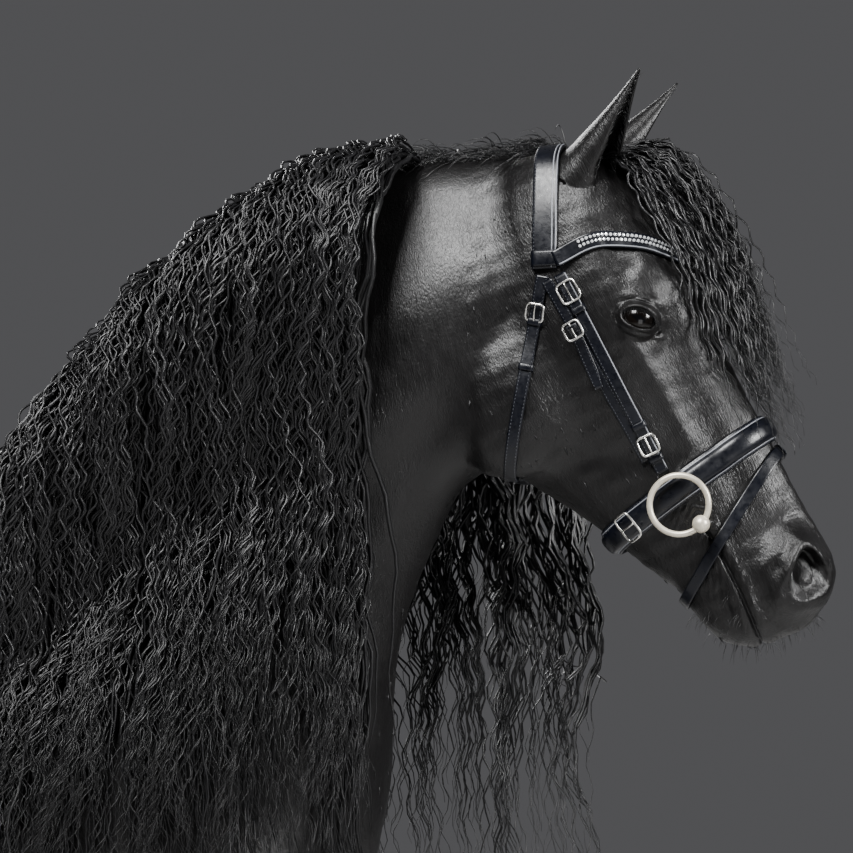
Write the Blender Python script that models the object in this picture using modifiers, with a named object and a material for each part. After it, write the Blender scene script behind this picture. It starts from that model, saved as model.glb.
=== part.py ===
"""A Friesian horse at life size, standing with its head carried high, in a dressage bridle without reins.

The horse faces +X, its left side is +Y and +Z is up. It is laid out with the withers over x = 0, in metres, and
moved at the end so that the middle of its bounding box stands over the origin.
"""

import math
import random

import bmesh
import bpy
import numpy as np
from mathutils import Matrix, Vector
from mathutils.bvhtree import BVHTree

# The box's middle, from the withers.
MIDDLE_X = -0.057
MIDDLE_Y = 0.0

# The clearance that two nodes keep where they meet, and the thickness of a cut between them.
GAP = 0.0003
MERGE = 0.000002
NUDGE = Vector((0.00007, 0.00004, 0.00005))
TRIES = 6

# How fine the flesh is before it is thinned, and how much it is smoothed.
BODY_VOXEL, BODY_ROUNDS, BODY_TRIANGLES = 0.010, 8, 3500
HEAD_VOXEL, HEAD_ROUNDS, HEAD_TRIANGLES = 0.005, 6, 2000
RING = 28
BROAD_SHARE = 4
BROAD_FROM = 0.86
BROAD_OVER = 0.16

SIDES = {"left": 1.0, "right": -1.0}

# Trunk: x, top, bottom, widest at, half width, squareness, pinch at the top, pinch at the bottom.
TRUNK = (
    (0.555, 1.300, 1.140, 1.215, 0.080, 2.0, 0.00, 0.00),
    (0.520, 1.400, 1.010, 1.190, 0.165, 2.1, 0.10, 0.05),
    (0.430, 1.500, 0.930, 1.170, 0.215, 2.2, 0.25, 0.10),
    (0.300, 1.560, 0.890, 1.150, 0.240, 2.2, 0.40, 0.15),
    (0.140, 1.602, 0.865, 1.130, 0.255, 2.2, 0.50, 0.18),
    (0.000, 1.620, 0.850, 1.110, 0.272, 2.2, 0.50, 0.15),
    (-0.150, 1.592, 0.836, 1.100, 0.298, 2.2, 0.40, 0.10),
    (-0.300, 1.545, 0.822, 1.100, 0.318, 2.3, 0.25, 0.05),
    (-0.480, 1.512, 0.822, 1.120, 0.325, 2.3, 0.15, 0.05),
    (-0.640, 1.514, 0.858, 1.160, 0.312, 2.3, 0.15, 0.08),
    (-0.780, 1.540, 0.930, 1.220, 0.292, 2.3, 0.18, 0.10),
    (-0.900, 1.548, 1.010, 1.260, 0.272, 2.3, 0.20, 0.10),
    (-1.000, 1.510, 1.070, 1.270, 0.235, 2.2, 0.20, 0.10),
    (-1.075, 1.445, 1.120, 1.270, 0.170, 2.1, 0.10, 0.05),
    (-1.110, 1.370, 1.200, 1.280, 0.080, 2.0, 0.00, 0.00),
)

# Neck: the crest's x and z, the underline's x and z, half width, pinch at the crest.
NECK = (
    (-0.060, 1.600, 0.430, 1.020, 0.190, 0.50),
    (0.030, 1.655, 0.530, 1.160, 0.185, 0.55),
    (0.100, 1.725, 0.580, 1.280, 0.168, 0.58),
    (0.160, 1.790, 0.602, 1.370, 0.152, 0.58),
    (0.230, 1.875, 0.608, 1.460, 0.136, 0.56),
    (0.320, 1.985, 0.618, 1.560, 0.120, 0.52),
    (0.415, 2.070, 0.640, 1.645, 0.109, 0.48),
    (0.510, 2.130, 0.670, 1.710, 0.101, 0.44),
    (0.600, 2.155, 0.700, 1.770, 0.095, 0.40),
    (0.680, 2.163, 0.740, 1.820, 0.088, 0.35),
    (0.770, 2.150, 0.800, 1.890, 0.072, 0.25),
)

# Head: it is laid out along an axis from the poll to the lips. "Along" runs down that axis, "out" square to it
# towards the front of the face.
POLL = (0.795, 2.095)
HEAD_PITCH = math.radians(64.3)

# Along, front, back, widest at, half width, squareness, pinch at the front, pinch at the back.
HEAD = (
    (-0.062, 0.020, -0.040, -0.010, 0.030, 2.0, 0.00, 0.00),
    (-0.040, 0.062, -0.080, 0.005, 0.056, 2.1, 0.05, 0.05),
    (0.000, 0.092, -0.110, 0.015, 0.078, 2.2, 0.10, 0.08),
    (0.060, 0.109, -0.150, 0.020, 0.092, 2.3, 0.15, 0.12),
    (0.120, 0.114, -0.182, 0.020, 0.099, 2.4, 0.12, 0.18),
    (0.175, 0.113, -0.196, 0.010, 0.098, 2.5, 0.10, 0.22),
    (0.235, 0.110, -0.190, -0.010, 0.087, 2.5, 0.15, 0.22),
    (0.290, 0.110, -0.168, -0.015, 0.074, 2.5, 0.25, 0.22),
    (0.345, 0.112, -0.135, -0.005, 0.064, 2.4, 0.32, 0.18),
    (0.400, 0.113, -0.106, 0.005, 0.056, 2.4, 0.32, 0.12),
    (0.445, 0.114, -0.086, 0.015, 0.052, 2.4, 0.28, 0.10),
    (0.486, 0.116, -0.062, 0.025, 0.054, 2.3, 0.18, 0.10),
    (0.520, 0.1175, -0.058, 0.030, 0.055, 2.3, 0.10, 0.10),
    (0.549, 0.109, -0.050, 0.030, 0.049, 2.2, 0.05, 0.05),
    (0.570, 0.083, -0.030, 0.025, 0.036, 2.1, 0.05, 0.05),
    (0.580, 0.056, -0.005, 0.022, 0.018, 2.0, 0.00, 0.00),
)

# Legs: height, x, y, half length fore and aft, half width. They are drawn for a square stance.
FORELEG = (
    (1.220, 0.270, 0.110, 0.140, 0.080),
    (1.080, 0.245, 0.145, 0.155, 0.092),
    (0.970, 0.215, 0.155, 0.132, 0.082),
    (0.880, 0.205, 0.150, 0.104, 0.070),
    (0.780, 0.208, 0.146, 0.081, 0.060),
    (0.680, 0.212, 0.142, 0.063, 0.050),
    (0.590, 0.216, 0.139, 0.050, 0.043),
    (0.525, 0.220, 0.138, 0.051, 0.048),
    (0.480, 0.221, 0.138, 0.049, 0.049),
    (0.430, 0.215, 0.138, 0.041, 0.040),
    (0.360, 0.212, 0.138, 0.036, 0.030),
    (0.280, 0.212, 0.138, 0.034, 0.027),
    (0.225, 0.212, 0.138, 0.038, 0.031),
    (0.180, 0.216, 0.138, 0.046, 0.038),
    (0.140, 0.232, 0.138, 0.039, 0.035),
    (0.105, 0.250, 0.138, 0.041, 0.039),
    (0.050, 0.268, 0.138, 0.046, 0.044),
)
HINDLEG = (
    (1.380, -0.880, 0.125, 0.160, 0.095),
    (1.250, -0.890, 0.160, 0.205, 0.110),
    (1.120, -0.875, 0.172, 0.226, 0.112),
    (1.000, -0.855, 0.168, 0.208, 0.098),
    (0.900, -0.868, 0.160, 0.162, 0.083),
    (0.800, -0.912, 0.151, 0.114, 0.067),
    (0.710, -0.970, 0.144, 0.080, 0.052),
    (0.645, -1.012, 0.141, 0.070, 0.044),
    (0.585, -1.028, 0.140, 0.062, 0.046),
    (0.520, -1.024, 0.140, 0.050, 0.041),
    (0.440, -1.018, 0.140, 0.043, 0.034),
    (0.340, -1.014, 0.140, 0.036, 0.029),
    (0.250, -1.012, 0.140, 0.037, 0.030),
    (0.195, -1.008, 0.140, 0.047, 0.038),
    (0.150, -0.988, 0.140, 0.039, 0.035),
    (0.108, -0.968, 0.140, 0.041, 0.039),
    (0.050, -0.948, 0.140, 0.046, 0.044),
)
# How far each foot stands ahead of the square stance, and where the shift begins.
STANCE = {
    ("fore", "left"): 0.045,
    ("fore", "right"): -0.015,
    ("hind", "left"): 0.060,
    ("hind", "right"): -0.020,
}
STANCE_TOP = 1.0

# Muscles and bones that swell the skin on both sides: centre, radii, turn about Y in degrees.
SWELLS = (
    ((0.215, 0.098, 1.330), (0.140, 0.100, 0.290), 26),  # shoulder blade
    ((0.120, 0.165, 1.060), (0.150, 0.090, 0.130), -20),  # upper arm
    ((0.470, 0.090, 1.130), (0.110, 0.105, 0.150), 0),  # breast
    ((0.220, 0.150, 0.860), (0.090, 0.062, 0.150), 0),  # forearm
    ((-0.840, 0.085, 1.345), (0.230, 0.165, 0.165), 8),  # croup
    ((-0.720, 0.150, 1.060), (0.120, 0.100, 0.170), -20),  # stifle
    ((0.865, 0.066, 1.985), (0.060, 0.030, 0.036), 30),  # brow over the eye
    ((0.760, 0.052, 1.865), (0.090, 0.042, 0.105), 20),  # jowl
)
# Swellings of the muzzle: along, out, y, and radii along, across and out.
MUZZLE = (
    (0.517, 0.073, 0.036, 0.046, 0.026, 0.036),  # nostril
    (0.497, -0.038, 0.000, 0.036, 0.040, 0.026),  # chin
    (0.535, -0.020, 0.000, 0.036, 0.043, 0.022),  # lower lip
    (0.545, 0.043, 0.000, 0.042, 0.048, 0.046),  # upper lip
)

# Where the flesh is parted: a point and a direction in the plane of symmetry.
HEAD_CUT = ((0.715, 1.950), (1.0, 0.06))
NECK_CUT = ((-0.010, 1.620), (0.540, 0.842))

# Arches that part the legs from the trunk: x and z of the arch's centre, its radius, and its inner side.
LEG_ARCH = {"fore": (0.215, 0.900, 0.165), "hind": (-0.860, 1.020, 0.245)}
LEG_INNER = 0.012
# Knee and hock, where each leg is parted again, and the coronet, whose plane drops towards the heel.
LEG_JOINT = {"fore": 0.440, "hind": 0.500}
CORONET_HEIGHT = 0.074
CORONET_DROP = math.radians(20)
HOOF_CENTRE = {"fore": (0.262, 0.138), "hind": (-0.952, 0.140)}
# Hoof rings: height over the ground, half length, half width, shift forward.
HOOF = ((0.000, 0.074, 0.067, 0.012), (0.030, 0.068, 0.062, 0.008), (0.062, 0.060, 0.055, 0.003), (0.120, 0.048, 0.046, -0.008))

# Eyes: along and out on the head, radius, how deep the centre lies, half length and half height of the opening.
EYE_PLACE = (0.181, 0.039)
EYE_RADIUS = 0.0235
EYE_DEPTH = 0.0115
LID_RADIUS = 0.0275
EYE_OPENING = (0.0205, 0.0125)

# Mouth: along and out at the corner and at the lips' front, the slit's width and depth.
MOUTH_CORNER = (0.418, -0.001)
MOUTH_FRONT = (0.610, -0.004)
MOUTH_SLIT = 0.0034
MOUTH_DEPTH = 0.012

# Nostril: along, out, radii along, across and out, and its lean.
NOSTRIL = (0.530, 0.072)
NOSTRIL_SIZE = (0.0240, 0.0200, 0.0115)
NOSTRIL_LEAN = math.radians(-22)

# Ears: base on the head (along, out, y), tip (x, y, z), half width, wall, how deep the cup is.
EAR_BASE = (-0.018, 0.068, 0.046)
EAR_TIP = {"left": (0.937, 0.088, 2.2480), "right": (0.911, 0.088, 2.2410)}
EAR_WIDTH = 0.038
EAR_TIP_WIDTH = 0.002
EAR_BEND = 0.004
EAR_OPENING = (0.88, 0.42)
EAR_WALL = 0.0035
EAR_RINGS = 7

# Straps: width and thickness of the bridle's leather.
HEADPIECE = (0.030, 0.0050)
BROWBAND = (0.020, 0.0045)
CHEEKPIECE = (0.0150, 0.0040)
HANGER = (0.0130, 0.0035)
THROATLATCH = (0.0150, 0.0040)
NOSEBAND = (0.034, 0.0075)
FLASH = (0.0140, 0.0035)
STRAP_GAP = 0.0013
BUCKLE_WIRE = 0.0016

# Bit: the ring's middle (along, out), its middle radius and wire radius, and the ends of the mouthpiece.
BIT_RING = (0.393, -0.013)
RING_RADIUS = 0.0340
RING_WIRE = 0.0037
BIT_PLACE = (0.424, 0.000)
BIT_BALL = 0.0105
BIT_BAR = 0.0085

RING_Y = 0.078

# The bridle's lines on the head, as (along, out): loops by their centre and the way they face, and cheek lines.
CHEEK_TOP = (0.075, -0.030)
POLL_TOP = (-0.0525, 0.0300)
BROW_FRONT = (0.118, 0.118)
BROW_DROP = 0.024
BROW_ARCH = 0.028
THROAT = (0.2775, -0.179)
NOSE_CENTRE = (0.368, 0.030)
NOSE_FRONT = (0.350, 0.128)
FLASH_CENTRE = (0.430, 0.040)
FLASH_FRONT = (0.378, 0.120)
CHEEK_LINE = ((0.094, -0.020), (0.157, -0.017), (0.224, -0.016), (0.304, -0.015), (0.350, -0.015))
HANGER_LINE = ((0.094, -0.036), (0.157, -0.032), (0.224, -0.030), (0.290, -0.027), (0.330, -0.026))

# The part of the blended head that is kept before it is cut to fit the neck.
HEAD_CROP = 0.690

# Which words in a name stand for which material.
MATERIAL_WORDS = (
    ("hoof", "hoof"),
    ("eye", "eye"),
    ("bit_", "bit"),
    ("buckle", "steel"),
    ("piece", "leather"),
    ("band", "leather"),
    ("latch", "leather"),
    ("strap", "leather"),
    ("tail", "hair"),
)

# Hair: the size of its steps as it falls, how deep its roots are sunk, and how soon it turns down.
HAIR_STEP = 0.024
HAIR_SUNK = 0.014
HAIR_TURN = 0.16

# A lock's width at its root and its tip as shares of the whole, and where its tip begins.
LOCK_ROOT = 0.60
LOCK_TIP = 0.08
LOCK_TIP_FROM = 0.65

# Manes, by side: where each begins and ends on the crest, how long it is there, and its locks in each layer.
MANES = {"right": (0.20, 0.89, 0.98, 0.70, 10), "left": (0.02, 0.46, 0.94, 0.80, 5)}
MANE_SEED = {"right": 11, "left": 23}
CREST_END = (-0.080, 1.605)
MANE_ROOT_Y = 0.010
MANE_OFF = 0.016
MANE_LAYER = 0.016
# A lock's width, thickness and stations, the least and the greatest wave, and the waves in its length.
MANE_LOCK = (0.094, 0.028, 6)
MANE_WAVE = (0.010, 0.020, 1.4)

# Forelock: its root on the head (along, out), its spread, its length, its locks and their size.
FORELOCK_ROOT = (-0.038, 0.062)
FORELOCK_SPREAD = (-0.030, 0.034)
FORELOCK_LENGTH = 0.43
FORELOCK_LOCKS = 6
FORELOCK_LOCK = (0.050, 0.017, 5)
FORELOCK_WAVE = (0.004, 0.009, 1.3)
FORELOCK_OFF = 0.012
FORELOCK_LAYER = 0.013
FORELOCK_TURN = 0.30
FORELOCK_SEED = 5

# Tail: x, z, half depth and half width down its middle line.
TAIL = (
    (-0.985, 1.440, 0.030, 0.032),
    (-1.060, 1.478, 0.036, 0.044),
    (-1.130, 1.440, 0.040, 0.058),
    (-1.172, 1.330, 0.044, 0.078),
    (-1.184, 1.150, 0.050, 0.100),
    (-1.184, 0.900, 0.054, 0.120),
    (-1.176, 0.650, 0.054, 0.126),
    (-1.166, 0.400, 0.048, 0.114),
    (-1.158, 0.220, 0.034, 0.078),
    (-1.154, 0.120, 0.012, 0.030),
)

# How much of the tail its core fills, how many of its rows it reaches down, and the tail's locks.
TAIL_CORE = 0.72
TAIL_CORE_ROWS = 6
TAIL_LOCKS = 9
TAIL_LOCK = (0.096, 0.036, 6)
TAIL_WAVE = (0.006, 0.012, 1.8)
TAIL_STEPS = 37
TAIL_SEED = 7

# Feathering: height of its roots in front and behind, the height of its tips, its locks and their size.
FEATHER = {"fore": (0.215, 0.380), "hind": (0.225, 0.410)}
FEATHER_TIPS = 0.020
FEATHER_OFF = 0.012
FEATHER_LAYER = 0.008
FEATHER_SHORT = 0.72
FEATHER_LOCKS = 8
FEATHER_LOCK = (0.090, 0.022, 4)
FEATHER_WAVE = (0.002, 0.005, 1.0)
FEATHER_TURN = 0.40
FEATHER_SEED = 31

COLOURS = {
    "coat": ((0.012, 0.011, 0.012), 0.42, 0.0),
    "hair": ((0.008, 0.008, 0.009), 0.48, 0.0),
    "hoof": ((0.028, 0.025, 0.023), 0.45, 0.0),
    "eye": ((0.010, 0.007, 0.005), 0.05, 0.0),
    "leather": ((0.008, 0.010, 0.018), 0.28, 0.0),
    "steel": ((0.62, 0.61, 0.58), 0.25, 1.0),
    "bit": ((0.70, 0.66, 0.55), 0.35, 1.0),
}


def clear_scene():
    """Empties the scene."""
    for obj in list(bpy.data.objects):
        bpy.data.objects.remove(obj)


DOWN = Vector((math.cos(HEAD_PITCH), 0, -math.sin(HEAD_PITCH)))
FRONT = Vector((math.sin(HEAD_PITCH), 0, math.cos(HEAD_PITCH)))


def head_point(along, out, y=0.0):
    """A point laid out on the head, in the horse's frame."""
    return Vector((POLL[0], y, POLL[1])) + DOWN * along + FRONT * out


def smooth_rows(rows, count):
    """Rows of sizes resampled on a smooth curve through them."""
    rows = np.asarray(rows, float)
    wide = np.vstack([2 * rows[0] - rows[1], rows, 2 * rows[-1] - rows[-2]])
    found = []
    for place in np.linspace(0, len(rows) - 1, count):
        i = min(int(place), len(rows) - 2)
        f = place - i
        a, b, c, d = wide[i : i + 4]
        found.append(
            b + 0.5 * f * (c - a + f * (2 * a - 5 * b + 4 * c - d + f * (3 * (b - c) + d - a)))
        )
    return np.array(found)


def section(centre, across, along, width, up, down, power=2.2, pinch_up=0.0, pinch_down=0.0, count=RING):
    """One section of a body: a rounded outline, deeper on one side of its widest level than on the other."""
    angle = np.arange(count) * 2 * math.pi / count
    side, lift = np.cos(angle), np.sin(angle)
    side = np.sign(side) * np.abs(side) ** (2 / power)
    lift = np.sign(lift) * np.abs(lift) ** (2 / power)
    narrow = 1 - np.where(lift > 0, pinch_up, pinch_down) * np.abs(lift)
    reach = np.where(lift > 0, up, down) * lift
    return (
        np.asarray(centre)
        + np.outer(width * side * narrow, np.asarray(across))
        + np.outer(reach, np.asarray(along))
    )


def mesh_object(name, verts, faces):
    """A new mesh object with its faces pointing out."""
    mesh = bpy.data.meshes.new(name)
    mesh.from_pydata([tuple(v) for v in verts], [], [tuple(f) for f in faces])
    work = bmesh.new()
    work.from_mesh(mesh)
    bmesh.ops.recalc_face_normals(work, faces=work.faces)
    bmesh.ops.triangulate(work, faces=work.faces)
    work.to_mesh(mesh)
    work.free()
    obj = bpy.data.objects.new(name, mesh)
    bpy.context.scene.collection.objects.link(obj)
    return obj


def loft(name, rings, closed=False):
    """A closed solid through a row of sections with equal numbers of points, or round a ring of them."""
    count = len(rings[0])
    verts = np.vstack(rings)
    faces = []
    for r in range(len(rings) - (0 if closed else 1)):
        here, there = r * count, (r + 1) % len(rings) * count
        for k in range(count):
            n = (k + 1) % count
            faces.append((here + k, here + n, there + n, there + k))
    if not closed:
        faces.append(tuple(range(count)))
        faces.append(tuple(range(len(verts) - count, len(verts))))
    return mesh_object(name, verts, faces)


def trunk():
    """The trunk from the breast to the buttocks."""
    rings = []
    for x, top, bottom, wide, width, power, pinch_up, pinch_down in smooth_rows(TRUNK, 48):
        rings.append(
            section((x, 0, wide), (0, 1, 0), (0, 0, 1), width, top - wide, wide - bottom, power, pinch_up, pinch_down)
        )
    return loft("trunk", rings)


def neck():
    """The arched neck."""
    rings = []
    for crest_x, crest_z, under_x, under_z, width, pinch in smooth_rows(NECK, 40):
        crest, under = np.array((crest_x, 0, crest_z)), np.array((under_x, 0, under_z))
        depth = np.linalg.norm(crest - under)
        up = (crest - under) / depth
        rings.append(
            section(under + up * depth * 0.42, (0, 1, 0), up, width, depth * 0.58, depth * 0.42, 2.2, pinch, 0.15)
        )
    return loft("neck_flesh", rings)


def skull():
    """The head without its ears."""
    rings = []
    for along, face, back, wide, width, power, pinch_up, pinch_down in smooth_rows(HEAD, 48):
        rings.append(
            section(
                head_point(along, wide), (0, 1, 0), FRONT, width, face - wide, wide - back, power, pinch_up, pinch_down
            )
        )
    return loft("skull", rings)


def stance_shift(kind, side, height):
    """How far a leg has moved fore or aft at this height."""
    share = min(1.0, max(0.0, (STANCE_TOP - height) / STANCE_TOP))
    return STANCE[kind, side] * share


def leg(kind, side):
    """One leg down to the coronet."""
    rows = FORELEG if kind == "fore" else HINDLEG
    rings = []
    for z, x, y, half_x, half_y in smooth_rows(rows, 44):
        shifted = x + stance_shift(kind, side, z)
        rings.append(section((shifted, y * SIDES[side], z), (0, 1, 0), (1, 0, 0), half_y, half_x, half_x))
    return loft(f"{kind}_{side}", rings)


def ball(name, matrix, fineness=3):
    """A unit ball of triangles under a matrix."""
    mesh = bpy.data.meshes.new(name)
    work = bmesh.new()
    bmesh.ops.create_icosphere(work, subdivisions=fineness, radius=1.0, matrix=matrix)
    work.to_mesh(mesh)
    work.free()
    obj = bpy.data.objects.new(name, mesh)
    bpy.context.scene.collection.objects.link(obj)
    return obj


def swell(centre, radii, turn, side):
    """A muscle or a bone under the skin, as an ellipsoid."""
    place = Matrix.Translation((centre[0], centre[1] * side, centre[2]))
    spin = Matrix.Rotation(math.radians(turn), 4, "Y")
    return ball("swell", place @ spin @ Matrix.Diagonal((*radii, 1.0)))


def head_frame(along, out, y, lean=0.0):
    """A frame on the head: X runs along it, Y across and Z out. A lean turns it about Y."""
    turn = Matrix((DOWN, Vector((0, 1, 0)), FRONT)).transposed().to_4x4()
    return Matrix.Translation(head_point(along, out, y)) @ turn @ Matrix.Rotation(lean, 4, "Y")


def join(objects, name):
    """Several objects' meshes in one object. They may overlap."""
    work = bmesh.new()
    for obj in objects:
        work.from_mesh(obj.data)
        bpy.data.objects.remove(obj)
    mesh = bpy.data.meshes.new(name)
    work.to_mesh(mesh)
    work.free()
    joined = bpy.data.objects.new(name, mesh)
    bpy.context.scene.collection.objects.link(joined)
    return joined


def baked(obj):
    """The object with its modifiers applied."""
    graph = bpy.context.evaluated_depsgraph_get()
    graph.update()
    mesh = bpy.data.meshes.new_from_object(obj.evaluated_get(graph))
    obj.modifiers.clear()
    obj.data = mesh
    return obj


def blended(pieces, name, voxel, rounds, count, focus=None):
    """Overlapping pieces as one smooth closed skin of about this many triangles."""
    body = join(pieces, name)
    remesh = body.modifiers.new("skin", "REMESH")
    remesh.mode = "VOXEL"
    remesh.voxel_size = voxel
    baked(body)
    broad = body.vertex_groups.new(name="broad")
    for vertex in body.data.vertices:
        share = (vertex.co.z - BROAD_FROM) / BROAD_OVER
        broad.add([vertex.index], min(1.0, max(0.0, share)), "REPLACE")
    for share, group in ((1, ""), (BROAD_SHARE, "broad")):
        soften = body.modifiers.new("soften", "SMOOTH")
        soften.factor = 0.5
        soften.iterations = rounds * share
        soften.vertex_group = group
    baked(body)
    body.vertex_groups.clear()
    if focus:
        bisect(body, *focus)
    thin = body.modifiers.new("thin", "DECIMATE")
    thin.ratio = count / (2 * len(body.data.polygons))
    thin.use_symmetry = True
    thin.symmetry_axis = "Y"
    baked(body)
    keep_largest(body)
    return body


def plane_normal(direction):
    """A direction in the plane of symmetry as a unit vector."""
    return Vector((direction[0], 0, direction[1])).normalized()


def bisect(obj, point, normal):
    """Keeps what lies on the normal's side of a plane, closed with a flat face."""
    work = bmesh.new()
    work.from_mesh(obj.data)
    geometry = work.verts[:] + work.edges[:] + work.faces[:]
    bmesh.ops.bisect_plane(work, geom=geometry, dist=1e-7, plane_co=point, plane_no=normal, clear_inner=True)
    rim = [edge for edge in work.edges if edge.is_boundary]
    caps = bmesh.ops.holes_fill(work, edges=rim, sides=0)["faces"]
    bmesh.ops.triangulate(work, faces=caps)
    bmesh.ops.triangulate(work, faces=work.faces)
    work.to_mesh(obj.data)
    work.free()
    return obj


def copied(obj, name):
    """A copy of an object with a mesh of its own."""
    twin = obj.copy()
    twin.data = obj.data.copy()
    twin.name = name
    bpy.context.scene.collection.objects.link(twin)
    return twin


def parted(obj, point, normal, name):
    """Parts an object at a plane. The far side becomes a new object, and a thin gap is left between them."""
    far = copied(obj, name)
    bisect(far, point + normal * GAP / 2, normal)
    bisect(obj, point - normal * GAP / 2, -normal)
    return far


def boolean(obj, others, operation):
    """One Boolean with a collection of closed meshes, which are used up.

    Where the result would pinch, the tools are nudged by a little and it is made again.
    """
    group = bpy.data.collections.new("tools")
    bpy.context.scene.collection.children.link(group)
    for other in others:
        for home in other.users_collection:
            home.objects.unlink(other)
        group.objects.link(other)
    before = obj.data.copy()
    for tries in range(TRIES):
        step = obj.modifiers.new("step", "BOOLEAN")
        step.operation = operation
        step.operand_type = "COLLECTION"
        step.collection = group
        step.solver = ("MANIFOLD", "EXACT")[tries % 2]
        baked(obj)
        if not pinches(obj):
            break
        if tries < TRIES - 1:
            obj.data = before.copy()
            for other in others if tries % 2 else ():
                other.data.transform(Matrix.Translation(NUDGE))
    for other in others:
        bpy.data.objects.remove(other)
    bpy.data.collections.remove(group)
    return obj


def pinches(obj):
    """How many edges would not be shared by two faces, once corners that nearly meet are merged."""
    work = bmesh.new()
    work.from_mesh(obj.data)
    bmesh.ops.remove_doubles(work, verts=work.verts, dist=MERGE)
    count = sum(not edge.is_manifold for edge in work.edges)
    work.free()
    return count


def keep_largest(obj):
    """Drops every closed surface of an object but the one with the most volume."""
    work = bmesh.new()
    work.from_mesh(obj.data)
    bmesh.ops.triangulate(work, faces=work.faces)
    work.faces.ensure_lookup_table()
    seen = set()
    shells = []
    for start in work.faces:
        if start.index in seen:
            continue
        seen.add(start.index)
        shell = [start]
        for face in shell:
            for edge in face.edges:
                for other in edge.link_faces:
                    if other.index not in seen:
                        seen.add(other.index)
                        shell.append(other)
        shells.append(shell)
    volumes = []
    for shell in shells:
        corners = [[v.co for v in face.verts] for face in shell]
        volumes.append(sum(a.dot(b.cross(c)) for a, b, c in corners))
    best = volumes.index(max(volumes))
    loose = [face for k, shell in enumerate(shells) if k != best for face in shell]
    bmesh.ops.delete(work, geom=loose, context="FACES")
    bmesh.ops.delete(work, geom=[v for v in work.verts if not v.link_faces], context="VERTS")
    work.to_mesh(obj.data)
    work.free()
    return obj


def tree_of(*objects):
    """A search tree over the surfaces of several objects."""
    verts, faces = [], []
    for obj in objects:
        base = len(verts)
        verts += [v.co.copy() for v in obj.data.vertices]
        faces += [tuple(base + k for k in face.vertices) for face in obj.data.polygons]
    return BVHTree.FromPolygons(verts, faces)


def clearance(tree, point):
    """How far a point lies outside a surface, and the way straight off it."""
    place, normal, _, distance = tree.find_nearest(point)
    off = point - place
    if distance < 1e-6:
        return 0.0, normal
    if off.dot(normal) < 0:
        return -distance, -off / distance
    return distance, off / distance


def head_pieces():
    """What the head and the top of the neck are blended from."""
    pieces = [neck(), skull()]
    for sign in SIDES.values():
        pieces += [swell(centre, radii, turn, sign) for centre, radii, turn in SWELLS if centre[0] > 0.7]
        for along, out, y, long, wide, deep in MUZZLE:
            pieces.append(ball("muzzle", head_frame(along, out, y * sign) @ Matrix.Diagonal((long, wide, deep, 1.0))))
    return pieces


def body_pieces():
    """What the rest of the body is blended from."""
    pieces = [trunk(), neck()]
    for side, sign in SIDES.items():
        pieces += [leg("fore", side), leg("hind", side)]
        pieces += [swell(centre, radii, turn, sign) for centre, radii, turn in SWELLS if centre[0] < 0.7]
    return pieces


def leg_arch(kind, side, grow):
    """The arch-shaped block that holds one leg."""
    x, z, radius = LEG_ARCH[kind]
    x += stance_shift(kind, side, z) / 2
    reach = radius + grow
    outline = [(x + reach, -0.1), (x - reach, -0.1)]
    for k in range(13):
        angle = math.pi - k * math.pi / 12
        outline.append((x + reach * math.cos(angle), z + reach * math.sin(angle)))
    sign = SIDES[side]
    rings = [[(px, sign * y, pz) for px, pz in outline] for y in (LEG_INNER - grow, 0.6)]
    return loft("arch", np.array(rings))


def hoof(kind, side):
    """One hoof, flat on the ground, with its top cut at the coronet."""
    x, y = HOOF_CENTRE[kind]
    x += STANCE[kind, side]
    rings = []
    for height, long, wide, ahead in HOOF:
        rings.append(section((x + ahead, y * SIDES[side], height), (0, 1, 0), (1, 0, 0), wide, long, long * 0.86, 2.1, count=16))
    return loft(f"hoof_{kind}_{side}", rings)


def coronet(kind, side):
    """A point on the plane between a leg and its hoof, and the way up from it."""
    x, y = HOOF_CENTRE[kind]
    point = Vector((x + STANCE[kind, side], y * SIDES[side], CORONET_HEIGHT))
    return point, Vector((-math.sin(CORONET_DROP), 0, math.cos(CORONET_DROP)))


def ear_tip(side):
    """The tip of one ear."""
    x, y, z = EAR_TIP[side]
    return Vector((x, y * SIDES[side], z))


def ear(side):
    """One ear as a cupped leaf, whole from its root in the head to its tip."""
    sign = SIDES[side]
    base = head_point(*EAR_BASE[:2], EAR_BASE[2] * sign)
    tip = ear_tip(side)
    axis = (tip - base).normalized()
    open_way = Vector((EAR_OPENING[0], EAR_OPENING[1] * sign, 0.0))
    open_way = (open_way - axis * open_way.dot(axis)).normalized()
    across = axis.cross(open_way).normalized()
    rings = []
    for k in range(EAR_RINGS):
        t = k / (EAR_RINGS - 1)
        width = EAR_WIDTH * (1 - t) ** 1.05 + EAR_TIP_WIDTH
        bend = open_way * EAR_BEND * 4 * (t - t * t)
        centre = base.lerp(tip, t) - axis * 0.030 * (1 - t) + bend
        spread = math.radians(152 - 62 * t)
        wall = min(EAR_WALL, width * 0.32)
        outer, inner = [], []
        for j in range(8):
            angle = -spread + 2 * spread * j / 7
            way = open_way * -math.cos(angle) + across * math.sin(angle)
            outer.append(centre + way * width)
            inner.append(centre + way * (width - wall))
        rings.append(outer + inner[::-1])
    return loft("ear_root", np.array([[tuple(p) for p in ring] for ring in rings]))


def eye_frame(tree, side):
    """The frame of one eye: Z looks out of the head, X runs along the lids."""
    sign = SIDES[side]
    start = head_point(*EYE_PLACE, 0.4 * sign)
    place, normal, _, _ = tree.ray_cast(start, Vector((0, -sign, 0)))
    out = (normal * 0.45 + Vector((0.18, sign, 0.02)).normalized()).normalized()
    along = (DOWN * 0.785 + FRONT * 0.62).normalized()
    along = (along - out * along.dot(out)).normalized()
    turn = Matrix((along, out.cross(along), out)).transposed().to_4x4()
    return Matrix.Translation(place - out * EYE_DEPTH) @ turn


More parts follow.
